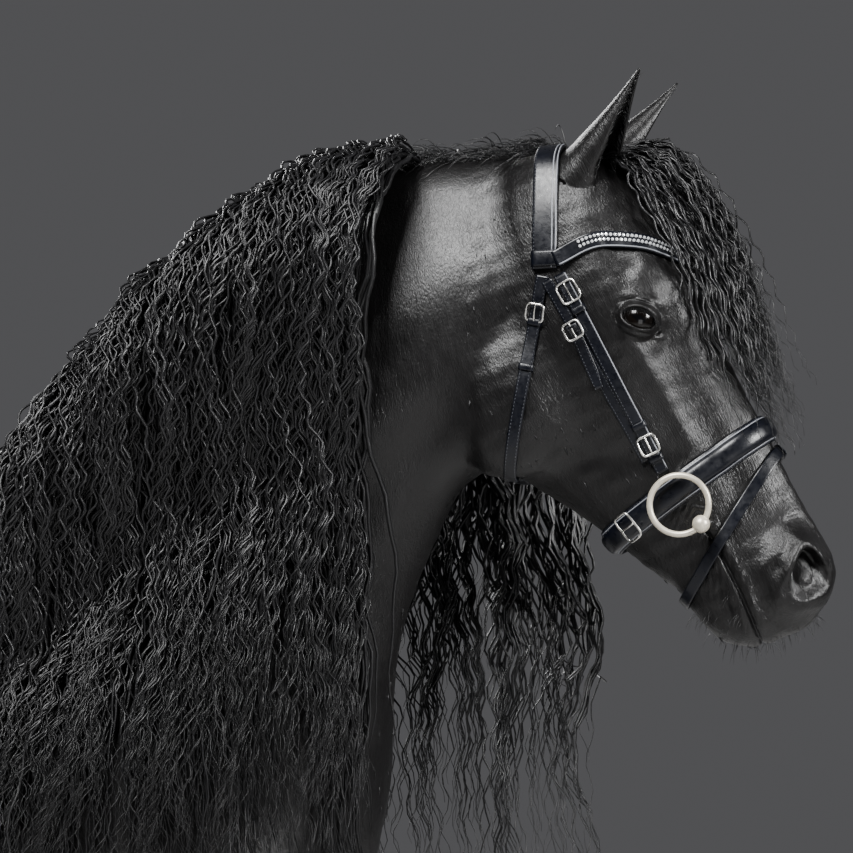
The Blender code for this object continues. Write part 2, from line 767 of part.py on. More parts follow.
def eyeball(name, frame, radius):
    """The ball of an eye. Its facets are the socket's own."""
    return ball(name, frame @ Matrix.Scale(radius, 4), 2)


def eye_slot(frame):
    """The almond-shaped opening between the lids, as a cutter."""
    long, high = EYE_OPENING
    points = []
    for k in range(16):
        angle = k * math.pi / 8
        lift = math.sin(angle)
        points.append((long * math.cos(angle), high * lift * abs(lift) ** 0.25))
    rings = []
    for depth, grow in ((0.010, 0.85), (0.050, 1.25)):
        rings.append([tuple(frame @ Vector((x * grow, y * grow, depth))) for x, y in points])
    return loft("slot", np.array(rings))


def mouth_slit(side):
    """The line of the mouth on one side, as a thin cutter."""
    sign = SIDES[side]
    rings = []
    corner, front = Vector(MOUTH_CORNER), Vector(MOUTH_FRONT)
    for k in range(8):
        t = k / 7
        place = corner.lerp(front, t)
        bow = 0.006 * math.sin(math.pi * t)
        narrow = MOUTH_SLIT / 2 * (0.35 if k == 0 else 1.0)
        inner = 0.050 - MOUTH_DEPTH - 0.030 * max(0.0, t - 0.6) / 0.4 if k < 7 else 0.0
        ring = []
        for out, y in ((-narrow, inner), (narrow, inner), (narrow * 1.6, 0.12), (-narrow * 1.6, 0.12)):
            ring.append(tuple(head_point(place.x, place.y + bow + out, y * sign)))
        rings.append(ring)
    return loft("slit", np.array(rings))


def nostril(side):
    """The hollow of one nostril, as a cutter."""
    sign = SIDES[side]
    pieces = []
    for shift, size in ((0.0, 1.0), (0.55, 0.62)):
        frame = head_frame(NOSTRIL[0], NOSTRIL[1], 0.062 * sign, NOSTRIL_LEAN)
        frame = frame @ Matrix.Translation((NOSTRIL_SIZE[0] * -shift, 0, NOSTRIL_SIZE[2] * shift))
        long, wide, deep = (part * size for part in NOSTRIL_SIZE)
        pieces.append(ball("nostril", frame @ Matrix.Diagonal((long, wide * 1.3, deep, 1.0)), 2))
    return pieces


def dress_head(head):
    """Cuts and builds the features of the head, and returns its ears and eyes."""
    tree = tree_of(head)
    ears, eyes, added, cut = [], [], [], []
    for side in SIDES:
        whole = ear(side)
        base = head_point(*EAR_BASE[:2], EAR_BASE[2] * SIDES[side])
        tip = ear_tip(side)
        axis = (tip - base).normalized()
        ears.append(parted(whole, base + axis * 0.016, axis, f"ear_{side}"))
        added.append(whole)
        frame = eye_frame(tree, side)
        added.append(ball("lid", frame @ Matrix.Diagonal((LID_RADIUS, LID_RADIUS * 0.92, LID_RADIUS, 1.0)), 2))
        cut += [eyeball("socket", frame, EYE_RADIUS + GAP), eye_slot(frame)]
        eyes.append(eyeball(f"eye_{side}", frame, EYE_RADIUS))
        cut += [mouth_slit(side), *nostril(side)]
    boolean(head, added, "UNION")
    boolean(head, cut, "DIFFERENCE")
    keep_largest(head)
    return ears, eyes


def loop_path(tree, centre, towards, start, end, count, drop=0.0, arch=0.0):
    """Points and normals on the skin along a loop square to the plane of symmetry.

    The loop lies in a plane unless it drops towards its middle or arches up beside it.
    """
    middle = head_point(*centre)
    up = (head_point(*towards) - middle).normalized()
    found = []
    for angle in np.linspace(math.radians(start), math.radians(end), count):
        way = Vector((0, math.cos(angle), 0)) + up * math.sin(angle)
        shift = DOWN * (drop * math.sin(angle) ** 2 - arch * math.sin(2 * angle) ** 2)
        place, normal, _, _ = tree.ray_cast(middle + shift + way * 0.5, -way)
        found.append((place, (normal + way).normalized()))
    return found


def side_path(tree, stops, side, count):
    """Points and normals on the skin of one cheek, under a line laid out on the head."""
    found = []
    for along, out in smooth_rows(stops, count):
        start = head_point(along, out, 0.4 * SIDES[side])
        place, normal, _, _ = tree.ray_cast(start, Vector((0, -SIDES[side], 0)))
        found.append((place, (normal + Vector((0, SIDES[side], 0))).normalized()))
    return found


def strap(name, path, size, worn, closed=False):
    """A leather strap along a path, lifted until it lies clear of all that is worn under it."""
    wide, thick = size
    tree = tree_of(*worn)
    count = len(path)
    frames = []
    for k, (place, normal) in enumerate(path):
        before = path[(k - 1) % count if closed else max(k - 1, 0)][0]
        after = path[(k + 1) % count if closed else min(k + 1, count - 1)][0]
        run = (after - before).normalized()
        out = (normal - run * normal.dot(run)).normalized()
        frames.append((place, out, run.cross(out)))
    lifts = np.full(count, STRAP_GAP)
    for _ in range(12):
        for k, (place, out, across) in enumerate(frames):
            near = frames[(k + 1) % count if closed else min(k + 1, count - 1)]
            for share in (-0.5, -0.25, 0.0, 0.25, 0.5):
                point = place + out * lifts[k] + across * wide * share
                beyond = near[0] + near[1] * lifts[k] + near[2] * wide * share
                for probe in (point, (point + beyond) / 2):
                    lifts[k] += max(0.0, STRAP_GAP - clearance(tree, probe)[0])
        if closed:
            calm = (np.roll(lifts, 1) + np.roll(lifts, -1)) / 2
        else:
            calm = np.convolve(np.pad(lifts, 1, "edge"), (0.5, 0, 0.5), "valid")
        lifts = np.maximum(lifts, calm)
    rings = []
    for lift, (place, out, across) in zip(lifts, frames):
        low, high = place + out * lift, place + out * (lift + thick)
        half = across * wide / 2
        rings.append([tuple(p) for p in (low - half, low + half, high + half * 0.92, high - half * 0.92)])
    piece = loft(name, np.array(rings), closed)
    worn.append(piece)
    return piece


def buckle(name, centre, out, run, size, worn):
    """A buckle's frame over a strap."""
    tree = tree_of(*worn)
    across = run.cross(out).normalized()
    run = out.cross(across).normalized()
    half_long, half_wide = size
    corners = ((-1, -1), (0, -1.06), (1, -1), (1.06, 0), (1, 1), (0, 1.06), (-1, 1), (-1.06, 0))
    lift = 0.0
    for _ in range(20):
        short = 0.0
        for x, y in corners:
            probe = centre + run * x * half_long + across * y * half_wide + out * lift
            short = max(short, STRAP_GAP + BUCKLE_WIRE - clearance(tree, probe)[0])
        lift += short
    rings = []
    for x, y in corners:
        middle = centre + run * x * half_long + across * y * half_wide + out * lift
        away = (run * x * half_long + across * y * half_wide).normalized()
        rings.append([tuple(middle + away * BUCKLE_WIRE * a + out * BUCKLE_WIRE * b) for a, b in ((-1, -1), (1, -1), (1, 1), (-1, 1))])
    piece = loft(name, np.array(rings), True)
    worn.append(piece)
    return piece


def bit_ring(side, grow=0.0):
    """One of the bit's rings, with more wire where it serves as a cutter."""
    bpy.ops.mesh.primitive_torus_add(
        major_radius=RING_RADIUS, minor_radius=RING_WIRE + grow, major_segments=24, minor_segments=6
    )
    ring = bpy.context.object
    ring.name = f"bit_ring_{side}"
    ring.data.transform(ring_frame(side))
    return ring


def ring_frame(side):
    """The frame of one ring: it hangs beside the mouth, square to the Y axis."""
    return Matrix.Translation(head_point(*BIT_RING, RING_Y * SIDES[side])) @ Matrix.Rotation(math.pi / 2, 4, "X")


def bit_bar(grow=0.0):
    """The straight bar of the bit through the mouth."""
    bpy.ops.mesh.primitive_cylinder_add(vertices=12, radius=BIT_BAR + grow, depth=2 * RING_Y)
    bar = bpy.context.object
    bar.name = "bit_mouthpiece"
    bar.data.transform(Matrix.Translation(head_point(*BIT_PLACE)) @ Matrix.Rotation(math.pi / 2, 4, "X"))
    return bar


def bit():
    """The bit: two loose rings and the mouthpiece that they run through."""
    balls, wires = [], []
    for side, sign in SIDES.items():
        bit_ring(side)
        wires.append(bit_ring(side, GAP))
        place = Matrix.Translation(head_point(*BIT_PLACE, RING_Y * sign))
        balls.append(ball("ball", place @ Matrix.Scale(BIT_BALL, 4), 2))
    bar = bit_bar()
    boolean(bar, balls, "UNION")
    boolean(bar, wires, "DIFFERENCE")
    keep_largest(bar)
    return bar


def bridle(head):
    """The leather of the bridle and its buckles."""
    worn = [head]
    tree = tree_of(head)
    strap("headpiece", loop_path(tree, CHEEK_TOP, POLL_TOP, -4, 184, 20), HEADPIECE, worn)
    brow_path = loop_path(tree, CHEEK_TOP, BROW_FRONT, 12, 168, 24, BROW_DROP, BROW_ARCH)
    strap("browband", brow_path, BROWBAND, worn)
    strap("throatlatch", loop_path(tree, CHEEK_TOP, THROAT, 9, 171, 28), THROATLATCH, worn)
    strap("noseband", loop_path(tree, NOSE_CENTRE, NOSE_FRONT, 0, 347, 28), NOSEBAND, worn, True)
    for side in SIDES:
        strap(f"noseband_hanger_{side}", side_path(tree, HANGER_LINE, side, 11), HANGER, worn)
        path = side_path(tree, CHEEK_LINE, side, 13)
        strap(f"cheekpiece_{side}", path, CHEEKPIECE, worn)
        for level, stop, size in (("upper", 1, (0.013, 0.012)), ("lower", 10, (0.011, 0.011))):
            place, normal = path[stop]
            run = (path[stop + 1][0] - path[stop - 1][0]).normalized()
            buckle(f"{level}_buckle_{side}", place, normal, run, size, worn)
    strap("flash_strap", loop_path(tree, FLASH_CENTRE, FLASH_FRONT, 0, 345, 24), FLASH, worn, True)
    return worn


def fall(tree, root, way, length, off, lean, turn=HAIR_TURN):
    """The way a lock falls: points from a root in the skin, and how the skin faces there."""
    spot = root
    heading = way.normalized()
    points, faces = [], []
    steps = max(4, round(length / HAIR_STEP))
    for k in range(steps + 1):
        distance, out = clearance(tree, spot)
        least = -HAIR_SUNK + (off + HAIR_SUNK) * min(1.0, k / 2)
        if distance < least or k == 0:
            spot = spot + out * (least - distance)
        points.append(spot)
        faces.append(out)
        if k:
            heading = (points[-1] - points[-2]).normalized()
        heading = (heading * (1 - turn) + (Vector((0, 0, -1)) + lean) * turn).normalized()
        spot = spot + heading * HAIR_STEP
    faces[:3] = [faces[3]] * 3
    return points, faces


def resampled(points, faces, count):
    """A fall at evenly spaced places. Each facing is turned square to the path, from the tip up to the root."""
    rows = smooth_rows([(*p, *f) for p, f in zip(points, faces)], len(points) * 3)
    marks = np.linspace(0, len(rows) - 1, count).round().astype(int)
    spots = [Vector(rows[m][:3]) for m in marks]
    facing = Vector(rows[-1][3:])
    turned = []
    for k in range(count - 1, -1, -1):
        run = (spots[min(k + 1, count - 1)] - spots[max(k - 1, 0)]).normalized()
        facing = Vector(rows[marks[k]][3:]).normalized() + 2 * facing.normalized()
        facing = (facing - run * facing.dot(run)).normalized()
        turned.append(facing)
    return spots, turned[::-1]


def lock_width(t):
    """A lock's width at a place from its root at 0 to its tip at 1, as a share of the whole."""
    swelling = (1 - LOCK_ROOT) * math.sin(math.pi * min(1.0, t * 1.2))
    taper = (LOCK_ROOT - LOCK_TIP) * max(0.0, t - LOCK_TIP_FROM) / (1 - LOCK_TIP_FROM)
    return LOCK_ROOT + swelling - taper


def lock(points, faces, size, waves, draw):
    """One tapered lock along a fall, flat below and ridged above, that waves from side to side."""
    wide, thick, count = size
    wave, phase = draw.uniform(*waves[:2]), draw.uniform(0, 2 * math.pi)
    spots, facings = resampled(points, faces, count)
    rings = []
    for k, (spot, facing) in enumerate(zip(spots, facings)):
        t = k / (count - 1)
        run = (spots[min(k + 1, count - 1)] - spots[max(k - 1, 0)]).normalized()
        across = run.cross(facing).normalized()
        middle = spot + across * wave * math.sin(waves[2] * 2 * math.pi * t + phase) * min(1.0, 3 * t)
        half = across * wide / 2 * lock_width(t)
        deep = facing * thick / 2 * (0.2 + 0.8 * lock_width(t))
        rings.append([tuple(corner) for corner in (middle - half - deep, middle + half - deep, middle + deep)])
    return loft("lock", np.array(rings))


def mane_root(share, y):
    """A point on the crest, from 0 at the poll to 1 at the withers."""
    rows = smooth_rows([row[:2] for row in NECK[::-1]] + [CREST_END], 60)
    x, z = rows[min(59, max(0, round(share * 59)))]
    return Vector((x, y, z))


def mane(skin, side):
    """One side of the mane, in two layers of locks that lie over each other's gaps."""
    first, last, long, short, count = MANES[side]
    sign = SIDES[side]
    draw = random.Random(MANE_SEED[side])
    pieces = []
    for layer in range(2):
        for k in range(count - layer):
            share = (k + 0.5 * layer) / (count - 1) + draw.uniform(-0.1, 0.1) / count
            length = (long + (short - long) * share) * draw.uniform(0.88, 1.04) * (1 - 0.10 * layer)
            root = mane_root(first + (last - first) * share, MANE_ROOT_Y * sign)
            way = Vector((draw.uniform(-0.22, -0.02), 0.8 * sign, draw.uniform(0.35, 0.60)))
            lean = Vector((draw.uniform(-0.03, 0.03), 0, 0))
            points, faces = fall(skin, root, way, length, MANE_OFF + MANE_LAYER * layer, lean)
            pieces.append(lock(points, faces, MANE_LOCK, MANE_WAVE, draw))
    return pieces


def forelock(skin):
    """The forelock over the forehead."""
    draw = random.Random(FORELOCK_SEED)
    low, high = FORELOCK_SPREAD
    pieces = []
    for k in range(FORELOCK_LOCKS):
        layer = k % 2
        y = low + (high - low) * k / (FORELOCK_LOCKS - 1)
        root = head_point(FORELOCK_ROOT[0] + 0.010 * layer, FORELOCK_ROOT[1], y * 0.8)
        way = Vector((1.0, y * 6, 0.05 + 0.1 * layer))
        length = FORELOCK_LENGTH * draw.uniform(0.82, 1.04) * (1 - abs(y) * 3)
        lean = Vector((0.08, 1.2 * y + 0.02, 0.0))
        points, faces = fall(skin, root, way, length, FORELOCK_OFF + FORELOCK_LAYER * layer, lean, FORELOCK_TURN)
        pieces.append(lock(points, faces, FORELOCK_LOCK, FORELOCK_WAVE, draw))
    return pieces


def dock():
    """The root of the tail and its core, which ends half way down."""
    rows = smooth_rows(TAIL[:TAIL_CORE_ROWS], 13)
    rings = []
    for k, (x, z, deep, wide) in enumerate(rows):
        ahead, behind = rows[min(k + 1, len(rows) - 1)], rows[max(k - 1, 0)]
        run = Vector((ahead[0] - behind[0], 0, ahead[1] - behind[1])).normalized()
        out = run.cross(Vector((0, 1, 0)))
        full = 1.0 - (1.0 - TAIL_CORE) * min(1.0, k / 5)
        rings.append(section((x, 0, z), (0, 1, 0), out, wide * full, deep * full, deep * full, 2.0, count=12))
    return loft("tail", rings)


def tail():
    """The tail: its dock and core, and the locks that hang round them nearly to the ground."""
    draw = random.Random(TAIL_SEED)
    rows = smooth_rows(TAIL, TAIL_STEPS)
    pieces = []
    for k in range(TAIL_LOCKS):
        angle = 2 * math.pi * (k + 0.5) / TAIL_LOCKS
        way = Vector((math.cos(angle), math.sin(angle), 0))
        start, stop = 5 + 4 * (k % 2), TAIL_STEPS - 1 - draw.randint(0, 6)
        points, faces = [], []
        for j in range(start, stop + 1):
            x, z, deep, wide = rows[j]
            reach = 0.35 + 0.40 * min(1.0, (j - start) / 5) + 0.10 * (k % 2)
            points.append(Vector((x + deep * reach * way.x, wide * reach * way.y, z)))
            faces.append(way)
        pieces.append(lock(points, faces, TAIL_LOCK, TAIL_WAVE, draw))
    return keep_largest(boolean(dock(), pieces, "UNION"))


def leg_middle(kind, side, height):
    """The point on a leg's middle line at a height."""
    rows = (FORELEG if kind == "fore" else HINDLEG)[::-1]
    x = float(np.interp(height, [row[0] for row in rows], [row[1] for row in rows]))
    return Vector((x + stance_shift(kind, side, height), HOOF_CENTRE[kind][1] * SIDES[side], height))


def feather(lower, foot, kind, side):
    """The locks of hair round one foot, longest and highest behind."""
    tree = tree_of(lower, foot)
    draw = random.Random(FEATHER_SEED)
    front, behind = FEATHER[kind]
    pieces = []
    for k in range(FEATHER_LOCKS):
        layer = k % 2
        angle = 2 * math.pi * (k + 0.5) / FEATHER_LOCKS
        share = (1 - math.cos(angle)) / 2
        height = front + (behind - front) * share**1.6 * (1.0 if layer else FEATHER_SHORT)
        way = Vector((math.cos(angle), math.sin(angle), 0))
        root, _, _, _ = tree.ray_cast(leg_middle(kind, side, height) + way * 0.2, -way)
        length = (height - FEATHER_TIPS) * draw.uniform(0.90, 1.0)
        start = way * 0.6 + Vector((0, 0, -1))
        points, faces = fall(tree, root, start, length, FEATHER_OFF + FEATHER_LAYER * layer, way * 0.05, FEATHER_TURN)
        for point in points:
            point.z = max(point.z, FEATHER_TIPS)
        pieces.append(lock(points, faces, FEATHER_LOCK, FEATHER_WAVE, draw))
    return pieces


def swollen(obj, by):
    """A copy of an object, grown by a small distance all round."""
    twin = copied(obj, "swollen")
    shifts = [vertex.normal * by for vertex in twin.data.vertices]
    for vertex, shift in zip(twin.data.vertices, shifts):
        vertex.co += shift
    return twin


def clear_of(obj, others):
    """Cuts an object clear of others that it would touch."""
    for other in others:
        if tree_of(obj).overlap(tree_of(other)):
            boolean(obj, [swollen(other, 2 * GAP)], "DIFFERENCE")
    return keep_largest(obj)


def finish(name):
    """A material from the table of colours."""
    colour, rough, metal = COLOURS[name]
    made = bpy.data.materials.get(name) or bpy.data.materials.new(name)
    made.use_nodes = True
    shader = made.node_tree.nodes["Principled BSDF"]
    shader.inputs["Base Color"].default_value = (*colour, 1.0)
    shader.inputs["Roughness"].default_value = rough
    shader.inputs["Metallic"].default_value = metal
    return made


def kind_of(name):
    """Which material an object has, by its name."""
    for word, material in MATERIAL_WORDS:
        if word in name:
            return material
    return "coat"


def main():
    clear_scene()
    crop = (Vector((HEAD_CROP, 0, 0)), Vector((1, 0, 0)))
    head = blended(head_pieces(), "head", HEAD_VOXEL, HEAD_ROUNDS, HEAD_TRIANGLES, crop)
    body = blended(body_pieces(), "torso", BODY_VOXEL, BODY_ROUNDS, BODY_TRIANGLES)
    skin = tree_of(head, body)
    point, normal = Vector((HEAD_CUT[0][0], 0, HEAD_CUT[0][1])), plane_normal(HEAD_CUT[1])
    bisect(head, point + normal * GAP / 2, normal)
    bisect(body, point - normal * GAP / 2, -normal)
    ears, eyes = dress_head(head)
    boolean(head, [bit_bar(GAP)], "DIFFERENCE")
    bit()
    worn = bridle(head)
    locks = forelock(tree_of(*worn, *ears))
    keep_largest(boolean(head, [clear_of(piece, worn[1:] + ears + eyes) for piece in locks], "UNION"))
    point, normal = Vector((NECK_CUT[0][0], 0, NECK_CUT[0][1])), plane_normal(NECK_CUT[1])
    neck_flesh = parted(body, point, normal, "neck")
    for side in SIDES:
        for kind in ("fore", "hind"):
            upper = copied(body, f"{kind}leg_{side}")
            boolean(upper, [leg_arch(kind, side, 0.0)], "INTERSECT")
            keep_largest(upper)
    boolean(body, [leg_arch(kind, side, GAP) for kind in ("fore", "hind") for side in SIDES], "DIFFERENCE")
    keep_largest(body)
    for side in SIDES:
        for kind in ("fore", "hind"):
            upper = bpy.data.objects[f"{kind}leg_{side}"]
            height = Vector((0, 0, LEG_JOINT[kind]))
            lower = parted(upper, height, Vector((0, 0, -1)), f"{kind}foot_{side}")
            point, normal = coronet(kind, side)
            bisect(lower, point + normal * GAP / 2, normal)
            foot = hoof(kind, side)
            bisect(foot, point - normal * GAP / 2, -normal)
            locks = [clear_of(piece, [foot]) for piece in feather(lower, foot, kind, side)]
            keep_largest(boolean(lower, locks, "UNION"))
    clear_of(tail(), [body])
    around = [body, head] + [bpy.data.objects[f"foreleg_{side}"] for side in SIDES] + worn[1:]
    locks = mane(skin, "right") + mane(skin, "left")
    keep_largest(boolean(neck_flesh, [clear_of(piece, around) for piece in locks], "UNION"))
    model = bpy.data.collections.new("friesian_horse")
    bpy.context.scene.collection.children.link(model)
    for obj in list(bpy.data.objects):
        obj.data.transform(Matrix.Translation((-MIDDLE_X, -MIDDLE_Y, 0)))
        obj.data.materials.clear()
        obj.data.materials.append(finish(kind_of(obj.name)))
        for home in obj.users_collection:
            home.objects.unlink(obj)
        model.objects.link(obj)


main()
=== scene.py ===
"""Looks of a Friesian horse at life size: one skin, its hair, its bridle, its eyes and its hooves.

Everything is laid out in metres with the withers over x = 0, like the CAD part, and moved by SHIFT into the
shared frame when a piece is finished. The horse faces +X, its left side is +Y and +Z is up.
"""

import logging
import math
from dataclasses import dataclass, field
from enum import Enum
from typing import Callable, Iterable, Sequence

import bmesh
import bpy
import numpy as np
from mathutils import Matrix, Vector
from mathutils.bvhtree import BVHTree


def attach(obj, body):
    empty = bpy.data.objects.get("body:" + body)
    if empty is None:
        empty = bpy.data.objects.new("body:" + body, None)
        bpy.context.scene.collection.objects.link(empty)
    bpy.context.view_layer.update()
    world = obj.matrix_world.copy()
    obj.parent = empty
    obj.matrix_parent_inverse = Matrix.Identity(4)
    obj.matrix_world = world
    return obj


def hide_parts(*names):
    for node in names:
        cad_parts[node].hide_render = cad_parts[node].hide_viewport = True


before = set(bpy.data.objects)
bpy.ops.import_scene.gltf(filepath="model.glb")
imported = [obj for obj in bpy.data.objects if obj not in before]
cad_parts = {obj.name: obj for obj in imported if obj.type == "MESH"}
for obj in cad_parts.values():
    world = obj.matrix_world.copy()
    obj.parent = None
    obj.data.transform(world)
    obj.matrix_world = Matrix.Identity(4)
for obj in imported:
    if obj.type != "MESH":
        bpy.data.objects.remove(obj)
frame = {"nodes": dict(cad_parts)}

log = logging.getLogger("friesian")

SHIFT = Vector((0.057, 0.0, 0.0))
UV_NAME = "OFBake"
PATCH = 0.003
ACROSS_STRAND = (0.02, 0.96, 0.49)
STRAND_TONES = 997

Path = list[tuple[Vector, Vector]]
Socket = bpy.types.NodeSocket


class Side(Enum):
    """A side of the horse, with its sign on the Y axis."""

    LEFT = 1.0
    RIGHT = -1.0

    @property
    def word(self) -> str:
        """The side's name in lower case."""
        return self.name.lower()


class Limb(Enum):
    """A pair of legs."""

    FORE = "fore"
    HIND = "hind"


# Trunk: x, top, bottom, widest at, half width, squareness, pinch at the top, pinch at the bottom.
TRUNK = (
    (0.555, 1.300, 1.140, 1.215, 0.080, 2.0, 0.00, 0.00),
    (0.520, 1.400, 1.010, 1.190, 0.165, 2.1, 0.10, 0.05),
    (0.430, 1.500, 0.930, 1.170, 0.215, 2.2, 0.25, 0.10),
    (0.300, 1.560, 0.890, 1.150, 0.240, 2.2, 0.40, 0.15),
    (0.140, 1.602, 0.865, 1.130, 0.255, 2.2, 0.50, 0.18),
    (0.000, 1.620, 0.850, 1.110, 0.272, 2.2, 0.50, 0.15),
    (-0.150, 1.592, 0.836, 1.100, 0.298, 2.2, 0.40, 0.10),
    (-0.300, 1.545, 0.822, 1.100, 0.318, 2.3, 0.25, 0.05),
    (-0.480, 1.512, 0.822, 1.120, 0.325, 2.3, 0.15, 0.05),
    (-0.640, 1.514, 0.858, 1.160, 0.312, 2.3, 0.15, 0.08),
    (-0.780, 1.540, 0.930, 1.220, 0.292, 2.3, 0.18, 0.10),
    (-0.900, 1.548, 1.010, 1.260, 0.272, 2.3, 0.20, 0.10),
    (-1.000, 1.510, 1.070, 1.270, 0.235, 2.2, 0.20, 0.10),
    (-1.075, 1.445, 1.120, 1.270, 0.170, 2.1, 0.10, 0.05),
    (-1.110, 1.370, 1.200, 1.280, 0.080, 2.0, 0.00, 0.00),
)

# Neck: the crest's x and z, the underline's x and z, half width, pinch at the crest.
NECK = (
    (-0.060, 1.600, 0.430, 1.020, 0.190, 0.50),
    (0.030, 1.655, 0.530, 1.160, 0.185, 0.55),
    (0.100, 1.725, 0.580, 1.280, 0.168, 0.58),
    (0.160, 1.790, 0.602, 1.370, 0.152, 0.58),
    (0.230, 1.875, 0.608, 1.460, 0.136, 0.56),
    (0.320, 1.985, 0.618, 1.560, 0.120, 0.52),
    (0.415, 2.070, 0.640, 1.645, 0.109, 0.48),
    (0.510, 2.130, 0.670, 1.710, 0.101, 0.44),
    (0.600, 2.155, 0.700, 1.770, 0.095, 0.40),
    (0.680, 2.163, 0.740, 1.820, 0.088, 0.35),
    (0.770, 2.150, 0.800, 1.890, 0.072, 0.25),
)
CREST_END = (-0.080, 1.605)

# Head, down its axis from the poll: along, front, back, widest at, half width, squareness, two pinches.
HEAD = (
    (-0.062, 0.020, -0.040, -0.010, 0.030, 2.0, 0.00, 0.00),
    (-0.040, 0.062, -0.080, 0.005, 0.056, 2.1, 0.05, 0.05),
    (0.000, 0.092, -0.110, 0.015, 0.078, 2.2, 0.10, 0.08),
    (0.060, 0.109, -0.150, 0.020, 0.092, 2.3, 0.15, 0.12),
    (0.120, 0.114, -0.182, 0.020, 0.099, 2.4, 0.12, 0.18),
    (0.175, 0.113, -0.196, 0.010, 0.098, 2.5, 0.10, 0.22),
    (0.235, 0.110, -0.190, -0.010, 0.087, 2.5, 0.15, 0.22),
    (0.290, 0.110, -0.168, -0.015, 0.074, 2.5, 0.25, 0.22),
    (0.345, 0.112, -0.135, -0.005, 0.064, 2.4, 0.32, 0.18),
    (0.400, 0.113, -0.106, 0.005, 0.056, 2.4, 0.32, 0.12),
    (0.445, 0.114, -0.086, 0.015, 0.052, 2.4, 0.28, 0.10),
    (0.486, 0.116, -0.062, 0.025, 0.054, 2.3, 0.18, 0.10),
    (0.520, 0.1175, -0.058, 0.030, 0.055, 2.3, 0.10, 0.10),
    (0.549, 0.109, -0.050, 0.030, 0.049, 2.2, 0.05, 0.05),
    (0.570, 0.083, -0.030, 0.025, 0.036, 2.1, 0.05, 0.05),
    (0.580, 0.056, -0.005, 0.022, 0.018, 2.0, 0.00, 0.00),
)
POLL = Vector((0.795, 0.0, 2.095))
PITCH = math.radians(64.3)
DOWN = Vector((math.cos(PITCH), 0, -math.sin(PITCH)))
FRONT = Vector((math.sin(PITCH), 0, math.cos(PITCH)))

# How steeply the fur runs down the face, back along the trunk and down elsewhere.
LIE_TURNS = (PITCH, math.radians(25), math.radians(80))

# Legs: height, x, y, half length fore and aft, half width, drawn for a square stance.
LEGS = {
    Limb.FORE: (
        (1.220, 0.270, 0.110, 0.140, 0.080),
        (1.080, 0.245, 0.145, 0.155, 0.092),
        (0.970, 0.215, 0.155, 0.132, 0.082),
        (0.880, 0.205, 0.150, 0.104, 0.070),
        (0.780, 0.208, 0.146, 0.081, 0.060),
        (0.680, 0.212, 0.142, 0.063, 0.050),
        (0.590, 0.216, 0.139, 0.050, 0.043),
        (0.525, 0.220, 0.138, 0.051, 0.048),
        (0.480, 0.221, 0.138, 0.049, 0.049),
        (0.430, 0.215, 0.138, 0.041, 0.040),
        (0.360, 0.212, 0.138, 0.036, 0.030),
        (0.280, 0.212, 0.138, 0.034, 0.027),
        (0.225, 0.212, 0.138, 0.038, 0.031),
        (0.180, 0.216, 0.138, 0.046, 0.038),
        (0.140, 0.232, 0.138, 0.039, 0.035),
        (0.105, 0.250, 0.138, 0.041, 0.039),
        (0.050, 0.268, 0.138, 0.046, 0.044),
    ),
    Limb.HIND: (
        (1.380, -0.880, 0.125, 0.160, 0.095),
        (1.250, -0.890, 0.160, 0.205, 0.110),
        (1.120, -0.875, 0.172, 0.226, 0.112),
        (1.000, -0.855, 0.168, 0.208, 0.098),
        (0.900, -0.868, 0.160, 0.162, 0.083),
        (0.800, -0.912, 0.151, 0.114, 0.067),
        (0.710, -0.970, 0.144, 0.080, 0.052),
        (0.645, -1.012, 0.141, 0.070, 0.044),
        (0.585, -1.028, 0.140, 0.062, 0.046),
        (0.520, -1.024, 0.140, 0.050, 0.041),
        (0.440, -1.018, 0.140, 0.043, 0.034),
        (0.340, -1.014, 0.140, 0.036, 0.029),
        (0.250, -1.012, 0.140, 0.037, 0.030),
        (0.195, -1.008, 0.140, 0.047, 0.038),
        (0.150, -0.988, 0.140, 0.039, 0.035),
        (0.108, -0.968, 0.140, 0.041, 0.039),
        (0.050, -0.948, 0.140, 0.046, 0.044),
    ),
}
STANCE = {
    (Limb.FORE, Side.LEFT): 0.045,
    (Limb.FORE, Side.RIGHT): -0.015,
    (Limb.HIND, Side.LEFT): 0.060,
    (Limb.HIND, Side.RIGHT): -0.020,
}
STANCE_TOP = 1.0
FOOT_CENTRE = {Limb.FORE: (0.262, 0.138), Limb.HIND: (-0.952, 0.140)}

# Muscles and bones under the skin on both sides: centre, radii, turn about Y in degrees.
SWELLS = (
    ((0.215, 0.098, 1.330), (0.140, 0.100, 0.290), 26),
    ((0.120, 0.165, 1.060), (0.150, 0.090, 0.130), -20),
    ((0.470, 0.090, 1.130), (0.110, 0.105, 0.150), 0),
    ((0.220, 0.150, 0.860), (0.090, 0.062, 0.150), 0),
    ((-0.840, 0.085, 1.345), (0.230, 0.165, 0.165), 8),
    ((-0.720, 0.150, 1.060), (0.120, 0.100, 0.170), -20),
    ((0.865, 0.066, 1.985), (0.060, 0.030, 0.036), 30),
    ((0.760, 0.052, 1.865), (0.090, 0.042, 0.105), 20),
)
# Swellings of the muzzle: along, out, y, and radii along, across and out.
MUZZLE = (
    (0.517, 0.073, 0.036, 0.046, 0.026, 0.036),
    (0.497, -0.038, 0.000, 0.036, 0.040, 0.026),
    (0.535, -0.020, 0.000, 0.036, 0.043, 0.022),
    (0.545, 0.043, 0.000, 0.042, 0.048, 0.046),
)

